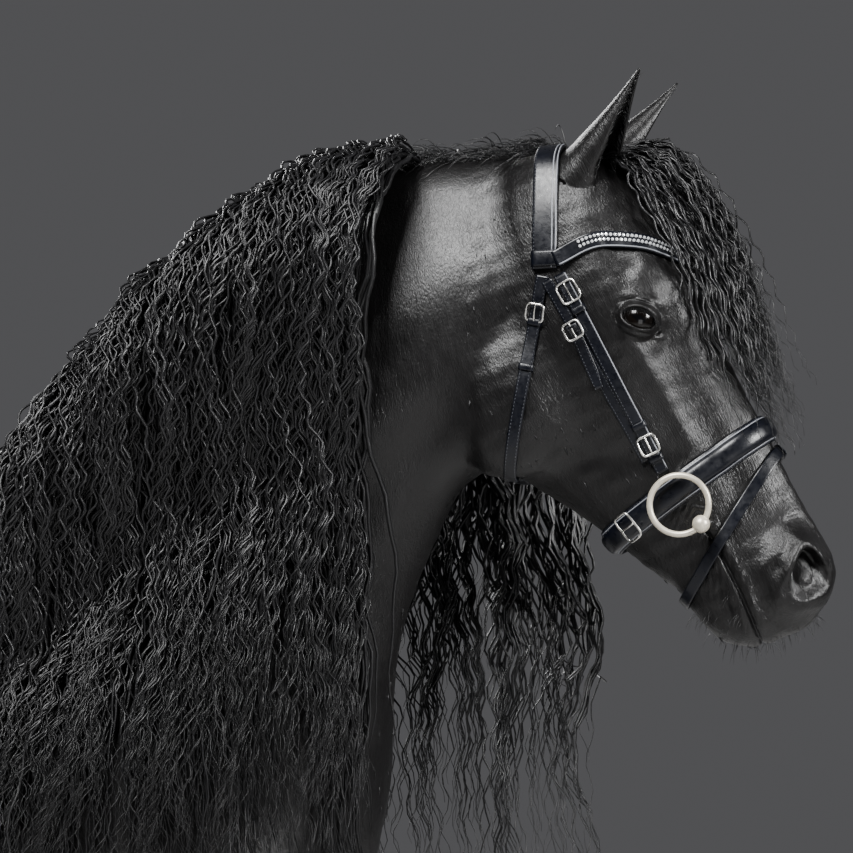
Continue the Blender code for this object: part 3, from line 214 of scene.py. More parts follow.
# Tail: x, z, half depth and half width down its middle line.
TAIL = (
    (-0.985, 1.440, 0.030, 0.032),
    (-1.060, 1.478, 0.036, 0.044),
    (-1.130, 1.440, 0.040, 0.058),
    (-1.172, 1.330, 0.044, 0.078),
    (-1.184, 1.150, 0.050, 0.100),
    (-1.184, 0.900, 0.054, 0.120),
    (-1.176, 0.650, 0.054, 0.126),
    (-1.166, 0.400, 0.048, 0.114),
    (-1.158, 0.220, 0.034, 0.078),
    (-1.154, 0.120, 0.012, 0.030),
)


def head_point(along: float, out: float, y: float = 0.0) -> Vector:
    """A point laid out on the head: down its axis from the poll, out to the face, and across."""
    return Vector((POLL.x, y, POLL.z)) + DOWN * along + FRONT * out


def head_places(points: np.ndarray) -> tuple[np.ndarray, np.ndarray]:
    """Where points lie on the head.

    Args:
        points: Their coordinates, one row each.

    Returns:
        How far down the head each one is, and how far out towards the face.
    """
    away = points - np.array(POLL)
    return away @ np.array(DOWN), away @ np.array(FRONT)


def head_frame(along: float, out: float, y: float) -> Matrix:
    """A frame on the head: X runs down it, Y across and Z out of the face."""
    turn = Matrix((DOWN, Vector((0, 1, 0)), FRONT)).transposed().to_4x4()
    return Matrix.Translation(head_point(along, out, y)) @ turn


def stance_shift(limb: Limb, side: Side, height: float) -> float:
    """How far a leg has moved fore or aft at this height."""
    return STANCE[limb, side] * min(1.0, max(0.0, (STANCE_TOP - height) / STANCE_TOP))


def smooth_rows(rows: Sequence[Sequence[float]], count: int) -> np.ndarray:
    """Rows of sizes resampled on a smooth curve through them.

    Args:
        rows: The sizes, one row for each place.
        count: How many rows to return.

    Returns:
        The new rows, evenly spaced.
    """
    table = np.asarray(rows, float)
    wide = np.vstack([2 * table[0] - table[1], table, 2 * table[-1] - table[-2]])
    place = np.linspace(0, len(table) - 1, count)
    i = np.minimum(place.astype(int), len(table) - 2)
    f = (place - i)[:, None]
    a, b, c, d = (wide[i + k] for k in range(4))
    return b + 0.5 * f * (c - a + f * (2 * a - 5 * b + 4 * c - d + f * (3 * (b - c) + d - a)))


def section(
    centre: Sequence[float],
    across: Sequence[float],
    along: Sequence[float],
    width: float,
    up: float,
    down: float,
    power: float = 2.2,
    pinch_up: float = 0.0,
    pinch_down: float = 0.0,
    count: int = 28,
) -> np.ndarray:
    """One section of a body: a rounded outline, deeper on one side of its widest level than on the other.

    Args:
        centre: The middle of its widest level.
        across: The direction of its width.
        along: The direction of its depth.
        width: Half its width.
        up: Its depth on the first side.
        down: Its depth on the other side.
        power: Its squareness, 2 for an ellipse.
        pinch_up: How much it narrows to the first side.
        pinch_down: How much it narrows to the other side.
        count: How many corners it has.

    Returns:
        The corners, one row each.
    """
    angle = np.arange(count) * 2 * math.pi / count
    side, lift = np.cos(angle), np.sin(angle)
    side = np.sign(side) * np.abs(side) ** (2 / power)
    lift = np.sign(lift) * np.abs(lift) ** (2 / power)
    narrow = 1 - np.where(lift > 0, pinch_up, pinch_down) * np.abs(lift)
    reach = np.where(lift > 0, up, down) * lift
    aside = np.outer(width * side * narrow, np.asarray(across))
    return np.asarray(centre) + aside + np.outer(reach, np.asarray(along))


def smoothstep(low: float, high: float, value: np.ndarray) -> np.ndarray:
    """A smooth rise from 0 at the low value to 1 at the high one."""
    t = np.clip((value - low) / (high - low), 0, 1)
    return t * t * (3 - 2 * t)


def bell(value: np.ndarray, width: float) -> np.ndarray:
    """A bell curve that is 1 at 0."""
    return np.exp(-((value / width) ** 2))


def unit(rows: np.ndarray) -> np.ndarray:
    """Rows scaled to a length of one."""
    return rows / np.maximum(np.linalg.norm(rows, axis=-1, keepdims=True), 1e-12)


def ways_along(line: np.ndarray, closed: bool) -> np.ndarray:
    """The way that a line runs at each of its points.

    Args:
        line: The points, one row each.
        closed: Whether the last point leads on to the first.

    Returns:
        Ways of length 1, one row each.
    """
    if closed:
        return unit(np.roll(line, -1, 0) - np.roll(line, 1, 0))
    return unit(np.gradient(line, axis=0))


def distances(line: np.ndarray) -> np.ndarray:
    """How far along a line each of its points lies."""
    return np.concatenate([[0], np.cumsum(np.linalg.norm(np.diff(line, axis=0), axis=1))])


def between(marks: np.ndarray, reach: np.ndarray, rows: np.ndarray) -> np.ndarray:
    """Rows of three values, read at marks between the places that they are kept for."""
    return np.stack([np.interp(marks, reach, rows[:, k]) for k in range(3)], 1)


def carried(matrix: Matrix, points: np.ndarray) -> np.ndarray:
    """Points moved by a matrix."""
    table = np.array(matrix)
    return points @ table[:3, :3].T + table[:3, 3]


def waves(points: np.ndarray, size: float, seed: int, count: int = 5) -> np.ndarray:
    """A smooth irregular field between about -1 and 1.

    Args:
        points: Where to read it, one row each.
        size: The length of its waves.
        seed: What sets its shape.
        count: How many waves it is summed from.

    Returns:
        Its value at each point.
    """
    draw = np.random.default_rng(seed)
    total = np.zeros(len(points))
    for _ in range(count):
        way = unit(draw.normal(size=3)) * 2 * math.pi / (size * draw.uniform(0.7, 1.5))
        total += np.sin(points @ way + draw.uniform(0, 2 * math.pi))
    return total / math.sqrt(count)


def new_mesh(name: str, points: np.ndarray, faces: np.ndarray) -> bpy.types.Mesh:
    """A mesh from arrays of corners and of faces with equal numbers of them.

    Args:
        name: The mesh's name.
        points: The corners' coordinates.
        faces: The corners of each face, one row each.

    Returns:
        The new mesh, shaded smooth.
    """
    mesh = bpy.data.meshes.new(name)
    mesh.vertices.add(len(points))
    mesh.vertices.foreach_set("co", np.asarray(points, np.float32).ravel())
    sides = faces.shape[1]
    mesh.loops.add(faces.size)
    mesh.loops.foreach_set("vertex_index", faces.astype(np.int32).ravel())
    mesh.polygons.add(len(faces))
    mesh.polygons.foreach_set("loop_start", np.arange(0, faces.size, sides, dtype=np.int32))
    mesh.polygons.foreach_set("use_smooth", np.ones(len(faces), bool))
    mesh.update(calc_edges=True)
    return mesh


def new_object(name: str, data: bpy.types.ID) -> bpy.types.Object:
    """A new object for a mesh, a lamp or a camera, in the scene.

    Args:
        name: Its name.
        data: Its mesh, lamp or camera.

    Returns:
        The new object.
    """
    obj = bpy.data.objects.new(name, data)
    bpy.context.scene.collection.objects.link(obj)
    return obj


def tube_faces(rings: int, count: int, closed: bool = False) -> np.ndarray:
    """The faces round a row of rings of corners.

    Args:
        rings: How many rings there are.
        count: How many corners each has.
        closed: Whether the last ring meets the first.

    Returns:
        Quads, one row each.
    """
    steps = rings if closed else rings - 1
    here = (np.arange(steps) * count)[:, None] + np.arange(count)
    there = (np.arange(1, steps + 1) % rings * count)[:, None] + np.arange(count)
    turned = np.roll(here, -1, 1), np.roll(there, -1, 1)
    return np.stack([here, turned[0], turned[1], there], -1).reshape(-1, 4)


def loft(name: str, rings: np.ndarray, closed: bool = False) -> bpy.types.Object:
    """A closed solid through a row of rings, or round a ring of them.

    Args:
        name: The object's name.
        rings: The rings' corners, as rings x corners x 3.
        closed: Whether the last ring meets the first.

    Returns:
        The new object, with its faces pointing out.
    """
    rings = np.asarray(rings, float)
    total, count = rings.shape[:2]
    mesh = bpy.data.meshes.new(name)
    work = bmesh.new()
    verts = [work.verts.new(point) for point in rings.reshape(-1, 3)]
    for quad in tube_faces(total, count, closed):
        work.faces.new([verts[k] for k in quad])
    if not closed:
        work.faces.new(verts[:count])
        work.faces.new(verts[-count:])
    bmesh.ops.recalc_face_normals(work, faces=work.faces)
    for face in work.faces:
        face.smooth = len(face.verts) == 4
    work.to_mesh(mesh)
    work.free()
    return new_object(name, mesh)


def ball(name: str, matrix: Matrix, fineness: int = 4) -> bpy.types.Object:
    """A unit ball under a matrix.

    Args:
        name: Its name.
        matrix: Its place, turn and size.
        fineness: How often its faces are divided.

    Returns:
        The new object.
    """
    work = bmesh.new()
    bmesh.ops.create_icosphere(work, subdivisions=fineness, radius=1.0, matrix=matrix)
    mesh = bpy.data.meshes.new(name)
    for face in work.faces:
        face.smooth = True
    work.to_mesh(mesh)
    work.free()
    return new_object(name, mesh)


def join(objects: Sequence[bpy.types.Object], name: str) -> bpy.types.Object:
    """Several objects' meshes in one new object.

    Args:
        objects: The objects, which are removed.
        name: The new object's name.

    Returns:
        The new object.
    """
    work = bmesh.new()
    for obj in objects:
        work.from_mesh(obj.data)
        bpy.data.objects.remove(obj)
    mesh = bpy.data.meshes.new(name)
    work.to_mesh(mesh)
    work.free()
    return new_object(name, mesh)


def baked(obj: bpy.types.Object) -> bpy.types.Object:
    """The object with its modifiers applied to its mesh.

    Args:
        obj: The object.

    Returns:
        The same object.
    """
    graph = bpy.context.evaluated_depsgraph_get()
    graph.update()
    mesh = bpy.data.meshes.new_from_object(obj.evaluated_get(graph))
    obj.modifiers.clear()
    obj.data = mesh
    return obj


def read(rows: bpy.types.bpy_prop_collection, name: str, width: int, kind: type) -> np.ndarray:
    """One property of all the rows that a mesh keeps, one row each.

    Args:
        rows: The rows, such as a mesh's points.
        name: The property's name.
        width: How many values a row has.
        kind: The values' type.

    Returns:
        The values, one row each.
    """
    found = np.empty(len(rows) * width, kind)
    rows.foreach_get(name, found)
    return found.reshape(-1, width)


def coordinates(mesh: bpy.types.Mesh) -> np.ndarray:
    """The coordinates of a mesh's corners, one row each."""
    return read(mesh.vertices, "co", 3, np.float32).astype(float)


def corner_normals(mesh: bpy.types.Mesh) -> np.ndarray:
    """The normals at a mesh's corners, one row each."""
    return read(mesh.vertex_normals, "vector", 3, np.float32).astype(float)


def edge_pairs(mesh: bpy.types.Mesh) -> np.ndarray:
    """The two corners of each edge, one row each."""
    return read(mesh.edges, "vertices", 2, np.int32)


def loop_corners(mesh: bpy.types.Mesh) -> np.ndarray:
    """Which of a mesh's corners each corner of its faces is."""
    return read(mesh.loops, "vertex_index", 1, np.int32).ravel()


def set_coordinates(mesh: bpy.types.Mesh, points: np.ndarray) -> None:
    """Moves a mesh's corners."""
    mesh.vertices.foreach_set("co", np.asarray(points, np.float32).ravel())
    mesh.update()


def relaxed(
    points: np.ndarray, pairs: np.ndarray, rounds: int, weight: np.ndarray | float = 1.0
) -> np.ndarray:
    """Points pulled half way to the middle of their neighbours, again and again.

    Args:
        points: Their coordinates.
        pairs: The two ends of each edge.
        rounds: How often they are pulled.
        weight: How strongly each one is pulled, from 0 to 1.

    Returns:
        The new coordinates.
    """
    count = len(points)
    first, second = pairs.T
    degree = np.maximum(np.bincount(first, minlength=count) + np.bincount(second, minlength=count), 1)
    pull = np.broadcast_to(np.asarray(weight, float) * 0.5, (count,))[:, None]
    for _ in range(rounds):
        near = np.empty_like(points)
        for axis in range(3):
            value = points[:, axis]
            near[:, axis] = np.bincount(first, value[second], count)
            near[:, axis] += np.bincount(second, value[first], count)
        points = points + pull * (near / degree[:, None] - points)
    return points


def tree_of(*objects: bpy.types.Object) -> BVHTree:
    """A search tree over the surfaces of several objects.

    Args:
        objects: The objects.

    Returns:
        The tree.
    """
    verts: list = []
    faces: list = []
    for obj in objects:
        base = len(verts)
        verts += [v.co.copy() for v in obj.data.vertices]
        faces += [tuple(base + k for k in face.vertices) for face in obj.data.polygons]
    return BVHTree.FromPolygons(verts, faces)


def clearance(tree: BVHTree, point: Vector) -> tuple[float, Vector]:
    """How far a point lies outside a surface, and the way straight off it.

    Args:
        tree: A search tree over the surface.
        point: The point.

    Returns:
        The distance, less than 0 inside, and the way of length 1.
    """
    place, normal, _, distance = tree.find_nearest(point)
    off = point - place
    if distance < 1e-6:
        return 0.0, normal
    if off.dot(normal) < 0:
        return -distance, -off / distance
    return distance, off / distance


def finished(obj: bpy.types.Object, slot: str, *nodes: str) -> bpy.types.Object:
    """Moves a piece into the shared frame and hands it over.

    Args:
        obj: The piece, laid out from the withers.
        slot: A material slot's name; not used.
        nodes: The CAD nodes that it stands for.

    Returns:
        The same object.
    """
    obj.data.transform(Matrix.Translation(SHIFT))
    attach(obj, "root")
    if nodes:
        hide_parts(*nodes)
    log.info("%s: %d faces", obj.name, len(obj.data.polygons))
    return obj


@dataclass(frozen=True)
class Stroke:
    """A groove or a ridge drawn on both sides of the skin."""

    stops: tuple[tuple[float, float, float], ...]
    width: float
    height: float

    def raise_by(self, points: np.ndarray) -> np.ndarray:
        """How far the stroke lifts each point of the skin.

        Args:
            points: The skin's corners.

        Returns:
            The lift of each one, below zero in a groove.
        """
        folded = points * (1, 0, 1) + np.abs(points) * (0, 1, 0)
        stops = np.asarray(self.stops, float)
        nearest = np.full(len(points), 9.0)
        for start, end in zip(stops[:-1], stops[1:]):
            run = end - start
            share = np.clip((folded - start) @ run / (run @ run), 0, 1)
            nearest = np.minimum(nearest, np.linalg.norm(folded - start - share[:, None] * run, axis=1))
        return self.height * bell(nearest, self.width)


def on_head(*stops: tuple[float, float, float]) -> tuple[tuple[float, ...], ...]:
    """A line of points laid out on the head as along, out and y."""
    return tuple(tuple(head_point(*stop)) for stop in stops)


STROKES = (
    Stroke(on_head((0.195, 0.020, 0.090), (0.260, 0.028, 0.078), (0.330, 0.030, 0.064)), 0.010, 0.0035),
    Stroke(on_head((0.150, 0.092, 0.066), (0.270, 0.090, 0.054), (0.400, 0.090, 0.042)), 0.012, 0.0020),
    Stroke(on_head((0.215, 0.060, 0.076), (0.300, 0.058, 0.064), (0.400, 0.055, 0.052)), 0.018, -0.0035),
    Stroke(on_head((0.285, -0.110, 0.055), (0.315, -0.050, 0.064), (0.335, -0.005, 0.064)), 0.016, -0.0035),
    Stroke(on_head((0.360, 0.000, 0.060), (0.330, 0.045, 0.062), (0.300, 0.066, 0.062)), 0.0035, 0.0016),
    Stroke(on_head((0.345, 0.022, 0.062), (0.390, 0.045, 0.056), (0.430, 0.060, 0.052)), 0.003, 0.0013),
    Stroke(on_head((0.085, 0.050, 0.088), (0.118, 0.052, 0.092)), 0.020, -0.0065),
    Stroke(on_head((0.128, 0.074, 0.088), (0.160, 0.078, 0.088), (0.190, 0.062, 0.090)), 0.012, 0.0035),
    Stroke(on_head((0.195, 0.078, 0.080), (0.235, 0.048, 0.080)), 0.012, -0.0020),
    Stroke(on_head((0.470, 0.066, 0.056), (0.500, 0.044, 0.060), (0.545, 0.038, 0.056)), 0.010, 0.0030),
    Stroke(on_head((0.420, 0.070, 0.052), (0.465, 0.086, 0.048), (0.490, 0.094, 0.046)), 0.009, 0.0030),
    Stroke(on_head((0.505, -0.020, 0.046), (0.560, -0.020, 0.040)), 0.007, -0.0020),
    Stroke(
        ((0.700, 0.060, 1.860), (0.600, 0.085, 1.760), (0.520, 0.105, 1.560), (0.470, 0.110, 1.380)),
        0.022, -0.0070,
    ),
    Stroke(
        ((0.680, 0.060, 1.910), (0.560, 0.105, 1.800), (0.460, 0.130, 1.640), (0.420, 0.140, 1.460)),
        0.030, 0.0050,
    ),
    Stroke(((0.300, 0.200, 1.480), (0.400, 0.190, 1.300), (0.440, 0.180, 1.180)), 0.030, -0.0080),
    Stroke(((0.080, 0.170, 1.500), (0.190, 0.215, 1.340), (0.330, 0.220, 1.190)), 0.018, 0.0045),
    Stroke(((0.020, 0.210, 1.360), (0.060, 0.245, 1.180), (0.090, 0.230, 1.020)), 0.034, -0.0080),
    Stroke(((0.180, 0.235, 1.120), (0.120, 0.235, 1.040), (0.140, 0.205, 0.950)), 0.016, -0.0050),
    Stroke(((-0.600, 0.310, 1.300), (-0.620, 0.320, 1.160), (-0.600, 0.290, 1.020)), 0.050, -0.0120),
    Stroke(((-0.640, 0.240, 1.460), (-0.680, 0.285, 1.400)), 0.030, 0.0070),
    Stroke(((-0.960, 0.230, 1.360), (-0.930, 0.262, 1.200), (-0.910, 0.255, 1.060)), 0.024, -0.0070),
    Stroke(((-0.760, 0.275, 1.300), (-0.760, 0.285, 1.160), (-0.740, 0.270, 1.040)), 0.024, -0.0040),
    Stroke(
        ((-0.100, 0.000, 0.840), (0.200, 0.000, 0.880), (0.500, 0.000, 1.050), (0.545, 0.000, 1.250)),
        0.022, -0.0090,
    ),
    Stroke(((-0.620, 0.000, 1.520), (-0.800, 0.000, 1.545), (-0.960, 0.000, 1.530)), 0.026, -0.0060),
)


@dataclass(frozen=True)
class Eye:
    """One eye and its lids, laid out in a frame whose Z looks out of the head and X runs along the lids."""

    side: Side
    frame: Matrix
    radius: float = 0.0235
    lid: float = 0.0268
    long: float = 0.0205
    high: float = 0.0120
    reach: float = 0.040

    def sculpted(self, points: np.ndarray) -> np.ndarray:
        """The skin's corners with this eye's lids and socket.

        Args:
            points: The skin's corners.

        Returns:
            Their new places.
        """
        local = carried(self.frame.inverted(), points)
        near = (np.linalg.norm(local, axis=1) < self.reach * 1.6) & (local[:, 2] > -0.004)
        u, v, w = local[near].T
        flat = np.hypot(u, v)
        dome = np.sqrt(np.maximum(self.lid**2 - flat**2, 0.0))
        blend = 0.004
        over = np.clip(0.5 + 0.5 * (dome - w) / blend, 0, 1)
        raised = w * (1 - over) + dome * over + blend * over * (1 - over)
        raised = np.where(flat < self.lid * 1.02, raised, w)
        droop = v - 0.10 * u
        share = np.hypot(u / self.long, droop / (self.high * np.where(droop > 0, 1.0, 0.92)))
        upper = smoothstep(-0.002, 0.006, droop)
        over_eye = bell(u / self.long + 0.15, 0.95)
        raised += upper * over_eye * (0.0040 * bell(share - 1.22, 0.22) - 0.0034 * bell(share - 1.70, 0.13))
        raised += upper * over_eye * 0.0034 * bell(share - 2.20, 0.42)
        low = 1 - upper
        raised += low * (0.0013 * bell(share - 1.15, 0.12) - 0.0013 * bell(share - 1.42, 0.10))
        under = bell(u / self.long - 0.25, 0.70)
        raised -= low * under * (0.0013 * bell(share - 1.95, 0.13) - 0.0008 * bell(share - 1.70, 0.14))
        corner = np.hypot((u - self.long * 1.16) / 0.0065, (v + 0.0015) / 0.0042)
        raised -= 0.0046 * bell(corner, 1.0)
        raised += 0.0011 * bell(corner - 1.9, 0.5) * low
        inside = share < 1
        sunk = np.sqrt(np.maximum((self.radius - 0.0035) ** 2 - flat**2, 0.0))
        wall = smoothstep(0.72, 1.0, share)
        raised = np.where(inside, sunk * (1 - wall) + raised * wall, raised)
        drawn = np.where(inside & (share > 0.6), (1 - 0.25 * (1 - share)) / np.maximum(share, 0.1), 1.0)
        local[near] = np.stack([u * drawn, v * drawn, raised], 1)
        return carried(self.frame, local)


@dataclass(frozen=True)
class Nostril:
    """One comma-shaped nostril with its raised rim."""

    side: Side
    along: float = 0.528
    out: float = 0.084
    long: float = 0.033
    wide: float = 0.0225
    lean: float = math.radians(-34)
    depth: float = 0.031

    def sculpted(self, points: np.ndarray) -> np.ndarray:
        """The skin's corners with this nostril.

        Args:
            points: The skin's corners.

        Returns:
            Their new places.
        """
        along, out = head_places(points)
        near = points[:, 1] * self.side.value > 0.012
        near &= np.hypot(along - self.along, out - self.out) < 0.07
        a, o = along[near] - self.along, out[near] - self.out
        x = a * math.cos(self.lean) + o * math.sin(self.lean)
        z = -a * math.sin(self.lean) + o * math.cos(self.lean)
        bend = z + 7.0 * x * x - 0.003
        narrow = self.wide * (1.0 + 0.34 * np.clip(x / self.long, -1, 1))
        share = np.hypot(x / self.long, bend / narrow)
        inner = 1 - smoothstep(0.50, 1.0, share)
        fold = 1 - 0.52 * bell(np.hypot((x / self.long - 0.50) / 0.55, (bend / narrow - 0.05) / 0.75), 1.0)
        rim = 0.0036 * bell(share - 1.24, 0.24) - 0.0016 * bell(share - 1.85, 0.30)
        lift = rim - self.depth * inner * fold
        way = np.array((0, self.side.value, 0)) * 0.86 + np.array(FRONT) * 0.22 + np.array(DOWN) * 0.46
        moved = points.copy()
        moved[near] += np.outer(lift, way)
        return moved


@dataclass(frozen=True)
class Mouth:
    """The line of the mouth, its lips and the wrinkles at its corners."""

    corner: tuple[float, float] = (0.420, -0.001)
    front: tuple[float, float] = (0.596, -0.004)
    bow: float = 0.006
    depth: float = 0.0048
    width: float = 0.0017

    def line(self, along: np.ndarray) -> np.ndarray:
        """How far out the mouth's line lies at places down the head.

        Args:
            along: The places, in metres from the poll.

        Returns:
            The distances from the middle line.
        """
        share = (along - self.corner[0]) / (self.front[0] - self.corner[0])
        level = self.corner[1] + (self.front[1] - self.corner[1]) * share
        return level + self.bow * np.sin(math.pi * np.clip(share, 0, 1))

    def sculpted(self, points: np.ndarray, normals: np.ndarray) -> np.ndarray:
        """The skin's corners with the mouth.

        Args:
            points: The skin's corners.
            normals: The way that each one faces.

        Returns:
            Their new places.
        """
        along, out = head_places(points)
        off = out - self.line(along)
        begun = smoothstep(self.corner[0] - 0.004, self.corner[0] + 0.012, along)
        lift = -self.depth * bell(off, self.width) + 0.0026 * bell(off - 0.010, 0.007)
        lift += 0.0018 * bell(off + 0.009, 0.007)
        lift = lift * begun * (points[:, 2] < 1.95)
        around = np.hypot(along - self.corner[0], (out - self.corner[1]) * 0.8)
        behind = smoothstep(0.46, 0.40, along)
        creases = np.sin((along - 0.8 * np.abs(out - self.corner[1]) - 0.36) * 2 * math.pi / 0.0095)
        lift += 0.0010 * creases * behind * bell(around - 0.016, 0.016) * (along > 0.30)
        lines = np.sin((out + 0.35 * along) * 2 * math.pi / 0.0085 + 1.5 * np.sin(along * 90))
        lips = smoothstep(0.43, 0.47, along) * smoothstep(0.59, 0.55, along)
        lift += 0.00045 * lines * bell(np.abs(off) - 0.022, 0.016) * lips
        return points + normals * lift[:, None]


EAR_TIPS = {Side.LEFT: (0.937, 0.088, 2.2460), Side.RIGHT: (0.911, 0.088, 2.2390)}


@dataclass(frozen=True)
class Ear:
    """One ear as a cupped leaf."""

    side: Side
    base: tuple[float, float, float] = (-0.018, 0.068, 0.046)
    width: float = 0.0375
    wall: float = 0.0032
    rings: int = 54
    count: int = 30

    @property
    def root(self) -> Vector:
        """The middle of the ear's base."""
        return head_point(self.base[0], self.base[1], self.base[2] * self.side.value)

    @property
    def end(self) -> Vector:
        """The ear's tip."""
        x, y, z = EAR_TIPS[self.side]
        return Vector((x, y * self.side.value, z))

    @property
    def axis(self) -> Vector:
        """The way from the base to the tip."""
        return (self.end - self.root).normalized()

    def frame(self) -> tuple[Vector, Vector]:
        """The way that the cup opens, and the way across it.

        Returns:
            The two ways, each of length 1.
        """
        opening = Vector((0.88, 0.42 * self.side.value, 0.0))
        opening = (opening - self.axis * opening.dot(self.axis)).normalized()
        return opening, self.axis.cross(opening).normalized()

    def middle(self, t: float) -> Vector:
        """A point on the ear's middle line, from its root at 0 to its tip at 1."""
        bend = self.frame()[0] * 0.016 * (t - t * t)
        return self.root.lerp(self.end, t) - self.axis * 0.030 * (1 - t) + bend

    def spread(self, t: float) -> tuple[float, float]:
        """The ear's half width and the angle to which its edges reach round the cup."""
        width = self.width * (1 - t) ** 1.05 + 0.002
        return width, math.radians(152 - 62 * t)

    def build(self) -> bpy.types.Object:
        """The ear as a closed solid, sunk in the head.

        Returns:
            The new object.
        """
        opening, across = self.frame()
        rings = []
        for t in np.linspace(0, 1, self.rings):
            width, spread = self.spread(float(t))
            wall = min(self.wall, width * 0.32)
            centre = self.middle(float(t))
            angles = np.linspace(-spread, spread, self.count)
            ways = np.outer(-np.cos(angles), opening) + np.outer(np.sin(angles), across)
            edge = 1 - 0.35 * (np.abs(angles) / spread) ** 6
            outer = np.array(centre) + ways * width
            inner = np.array(centre) + ways * (width - wall * edge)[:, None]
            rings.append(np.vstack([outer, inner[::-1]]))
        return loft(f"ear_{self.side.word}_part", np.array(rings))


@dataclass
class Skin:
    """The horse's whole skin as one closed surface, without seams."""

    body_voxel: float = 0.0150
    head_voxel: float = 0.0036
    body_rounds: tuple[int, int] = (5, 21)
    head_rounds: tuple[int, int] = (12, 46)
    broad_from: float = 0.86
    broad_over: float = 0.16
    half_width: float = 0.3212
    fine_from: float = 0.700
    coat_depth: float = 0.0012
    nodes: tuple[str, ...] = (
        "head", "neck", "torso", "ear_left", "ear_right", "foreleg_left", "foreleg_right", "hindleg_left",
        "hindleg_right", "forefoot_left", "forefoot_right", "hindfoot_left", "hindfoot_right",
    )
    eyes: list[Eye] = field(default_factory=list)
    ears: list[Ear] = field(default_factory=list)

    def trunk(self) -> bpy.types.Object:
        """The trunk from the breast to the buttocks.

        Returns:
            The new object.
        """
        rings = []
        for x, top, bottom, wide, width, power, high, low in smooth_rows(TRUNK, 60):
            above, below = top - wide, wide - bottom
            rings.append(
                section((x, 0, wide), (0, 1, 0), (0, 0, 1), width, above, below, power, high, low, 48)
            )
        return loft("trunk", np.array(rings))

    def neck(self) -> bpy.types.Object:
        """The arched neck.

        Returns:
            The new object.
        """
        rings = []
        for crest_x, crest_z, under_x, under_z, width, pinch in smooth_rows(NECK, 60):
            crest, under = np.array((crest_x, 0, crest_z)), np.array((under_x, 0, under_z))
            depth = np.linalg.norm(crest - under)
            up = (crest - under) / depth
            middle = under + up * depth * 0.42
            rings.append(
                section(middle, (0, 1, 0), up, width, depth * 0.58, depth * 0.42, 2.2, pinch, 0.15, 56)
            )
        return loft("neck_part", np.array(rings))

    def skull(self) -> bpy.types.Object:
        """The head without its ears.

        Returns:
            The new object.
        """
        rings = []
        for along, face, back, wide, width, power, high, low in smooth_rows(HEAD, 90):
            middle = head_point(along, wide)
            rings.append(
                section(middle, (0, 1, 0), FRONT, width, face - wide, wide - back, power, high, low, 72)
            )
        return loft("skull", np.array(rings))

    def leg(self, limb: Limb, side: Side) -> bpy.types.Object:
        """One leg down to the coronet.

        Args:
            limb: The fore or the hind leg.
            side: The side that it is on.

        Returns:
            The new object.
        """
        rings = []
        for z, x, y, half_x, half_y in smooth_rows(LEGS[limb], 80):
            middle = (x + stance_shift(limb, side, z), y * side.value, z)
            rings.append(section(middle, (0, 1, 0), (1, 0, 0), half_y, half_x, half_x, count=36))
        return loft("leg", np.array(rings))

    def swells(self, ahead: bool) -> list[bpy.types.Object]:
        """The swellings of the head, or those of the body.

        Args:
            ahead: Whether those of the head are wanted.

        Returns:
            The new objects.
        """
        found = []
        for centre, radii, turn in SWELLS:
            if (centre[0] > 0.7) != ahead:
                continue
            for side in Side:
                place = Matrix.Translation((centre[0], centre[1] * side.value, centre[2]))
                spin = Matrix.Rotation(math.radians(turn), 4, "Y")
                found.append(ball("swell", place @ spin @ Matrix.Diagonal((*radii, 1.0))))
        return found

    def muzzle(self) -> list[bpy.types.Object]:
        """The swellings of the muzzle.

        Returns:
            The new objects.
        """
        found = []
        for side in Side:
            for along, out, y, *radii in MUZZLE:
                place = head_frame(along, out, y * side.value)
                found.append(ball("muzzle", place @ Matrix.Diagonal((*radii, 1.0))))
        return found

    def blended(self, pieces: list, name: str, voxel: float, rounds: tuple[int, int]) -> bpy.types.Object:
        """Overlapping pieces as one smooth skin.

        Args:
            pieces: The pieces, which are used up.
            name: The new object's name.
            voxel: How fine the skin is.
            rounds: How often it is smoothed, everywhere and above the legs.

        Returns:
            The new object.
        """
        body = join(pieces, name)
        remesh = body.modifiers.new("skin", "REMESH")
        remesh.mode = "VOXEL"
        remesh.voxel_size = voxel
        baked(body)
        points, pairs = coordinates(body.data), edge_pairs(body.data)
        points = relaxed(points, pairs, rounds[0])
        broad = np.clip((points[:, 2] - self.broad_from) / self.broad_over, 0, 1)
        set_coordinates(body.data, relaxed(points, pairs, rounds[1], broad))
        return body

    def refined(self, obj: bpy.types.Object, chosen: Callable[[np.ndarray], np.ndarray], cuts: int) -> None:
        """Divides the edges between chosen points, and splits faces of more than four corners into triangles.

        Args:
            obj: The skin.
            chosen: Tells for rows of points which are to be divided.
            cuts: How many cuts each edge gets.
        """
        work = bmesh.new()
        work.from_mesh(obj.data)
        picked = chosen(np.array([vert.co for vert in work.verts]))
        edges = [edge for edge in work.edges if all(picked[vert.index] for vert in edge.verts)]
        bmesh.ops.subdivide_edges(work, edges=edges, cuts=cuts, use_grid_fill=True, smooth=0.0)
        bmesh.ops.triangulate(work, faces=[face for face in work.faces if len(face.verts) > 4])
        work.to_mesh(obj.data)
        work.free()

    def fitted(self, obj: bpy.types.Object, fine: bpy.types.Object) -> None:
        """Draws the front of the skin onto the finer head, fading out behind the cheeks.

        Args:
            obj: The skin.
            fine: The head, finely blended.
        """
        tree = tree_of(fine)
        points = coordinates(obj.data)
        share = smoothstep(self.fine_from, self.fine_from + 0.03, points[:, 0])
        for k in np.flatnonzero(share > 0):
            place = tree.find_nearest(Vector(points[k]))[0]
            points[k] += (np.array(place) - points[k]) * share[k]
        set_coordinates(obj.data, points)
        bpy.data.objects.remove(fine)

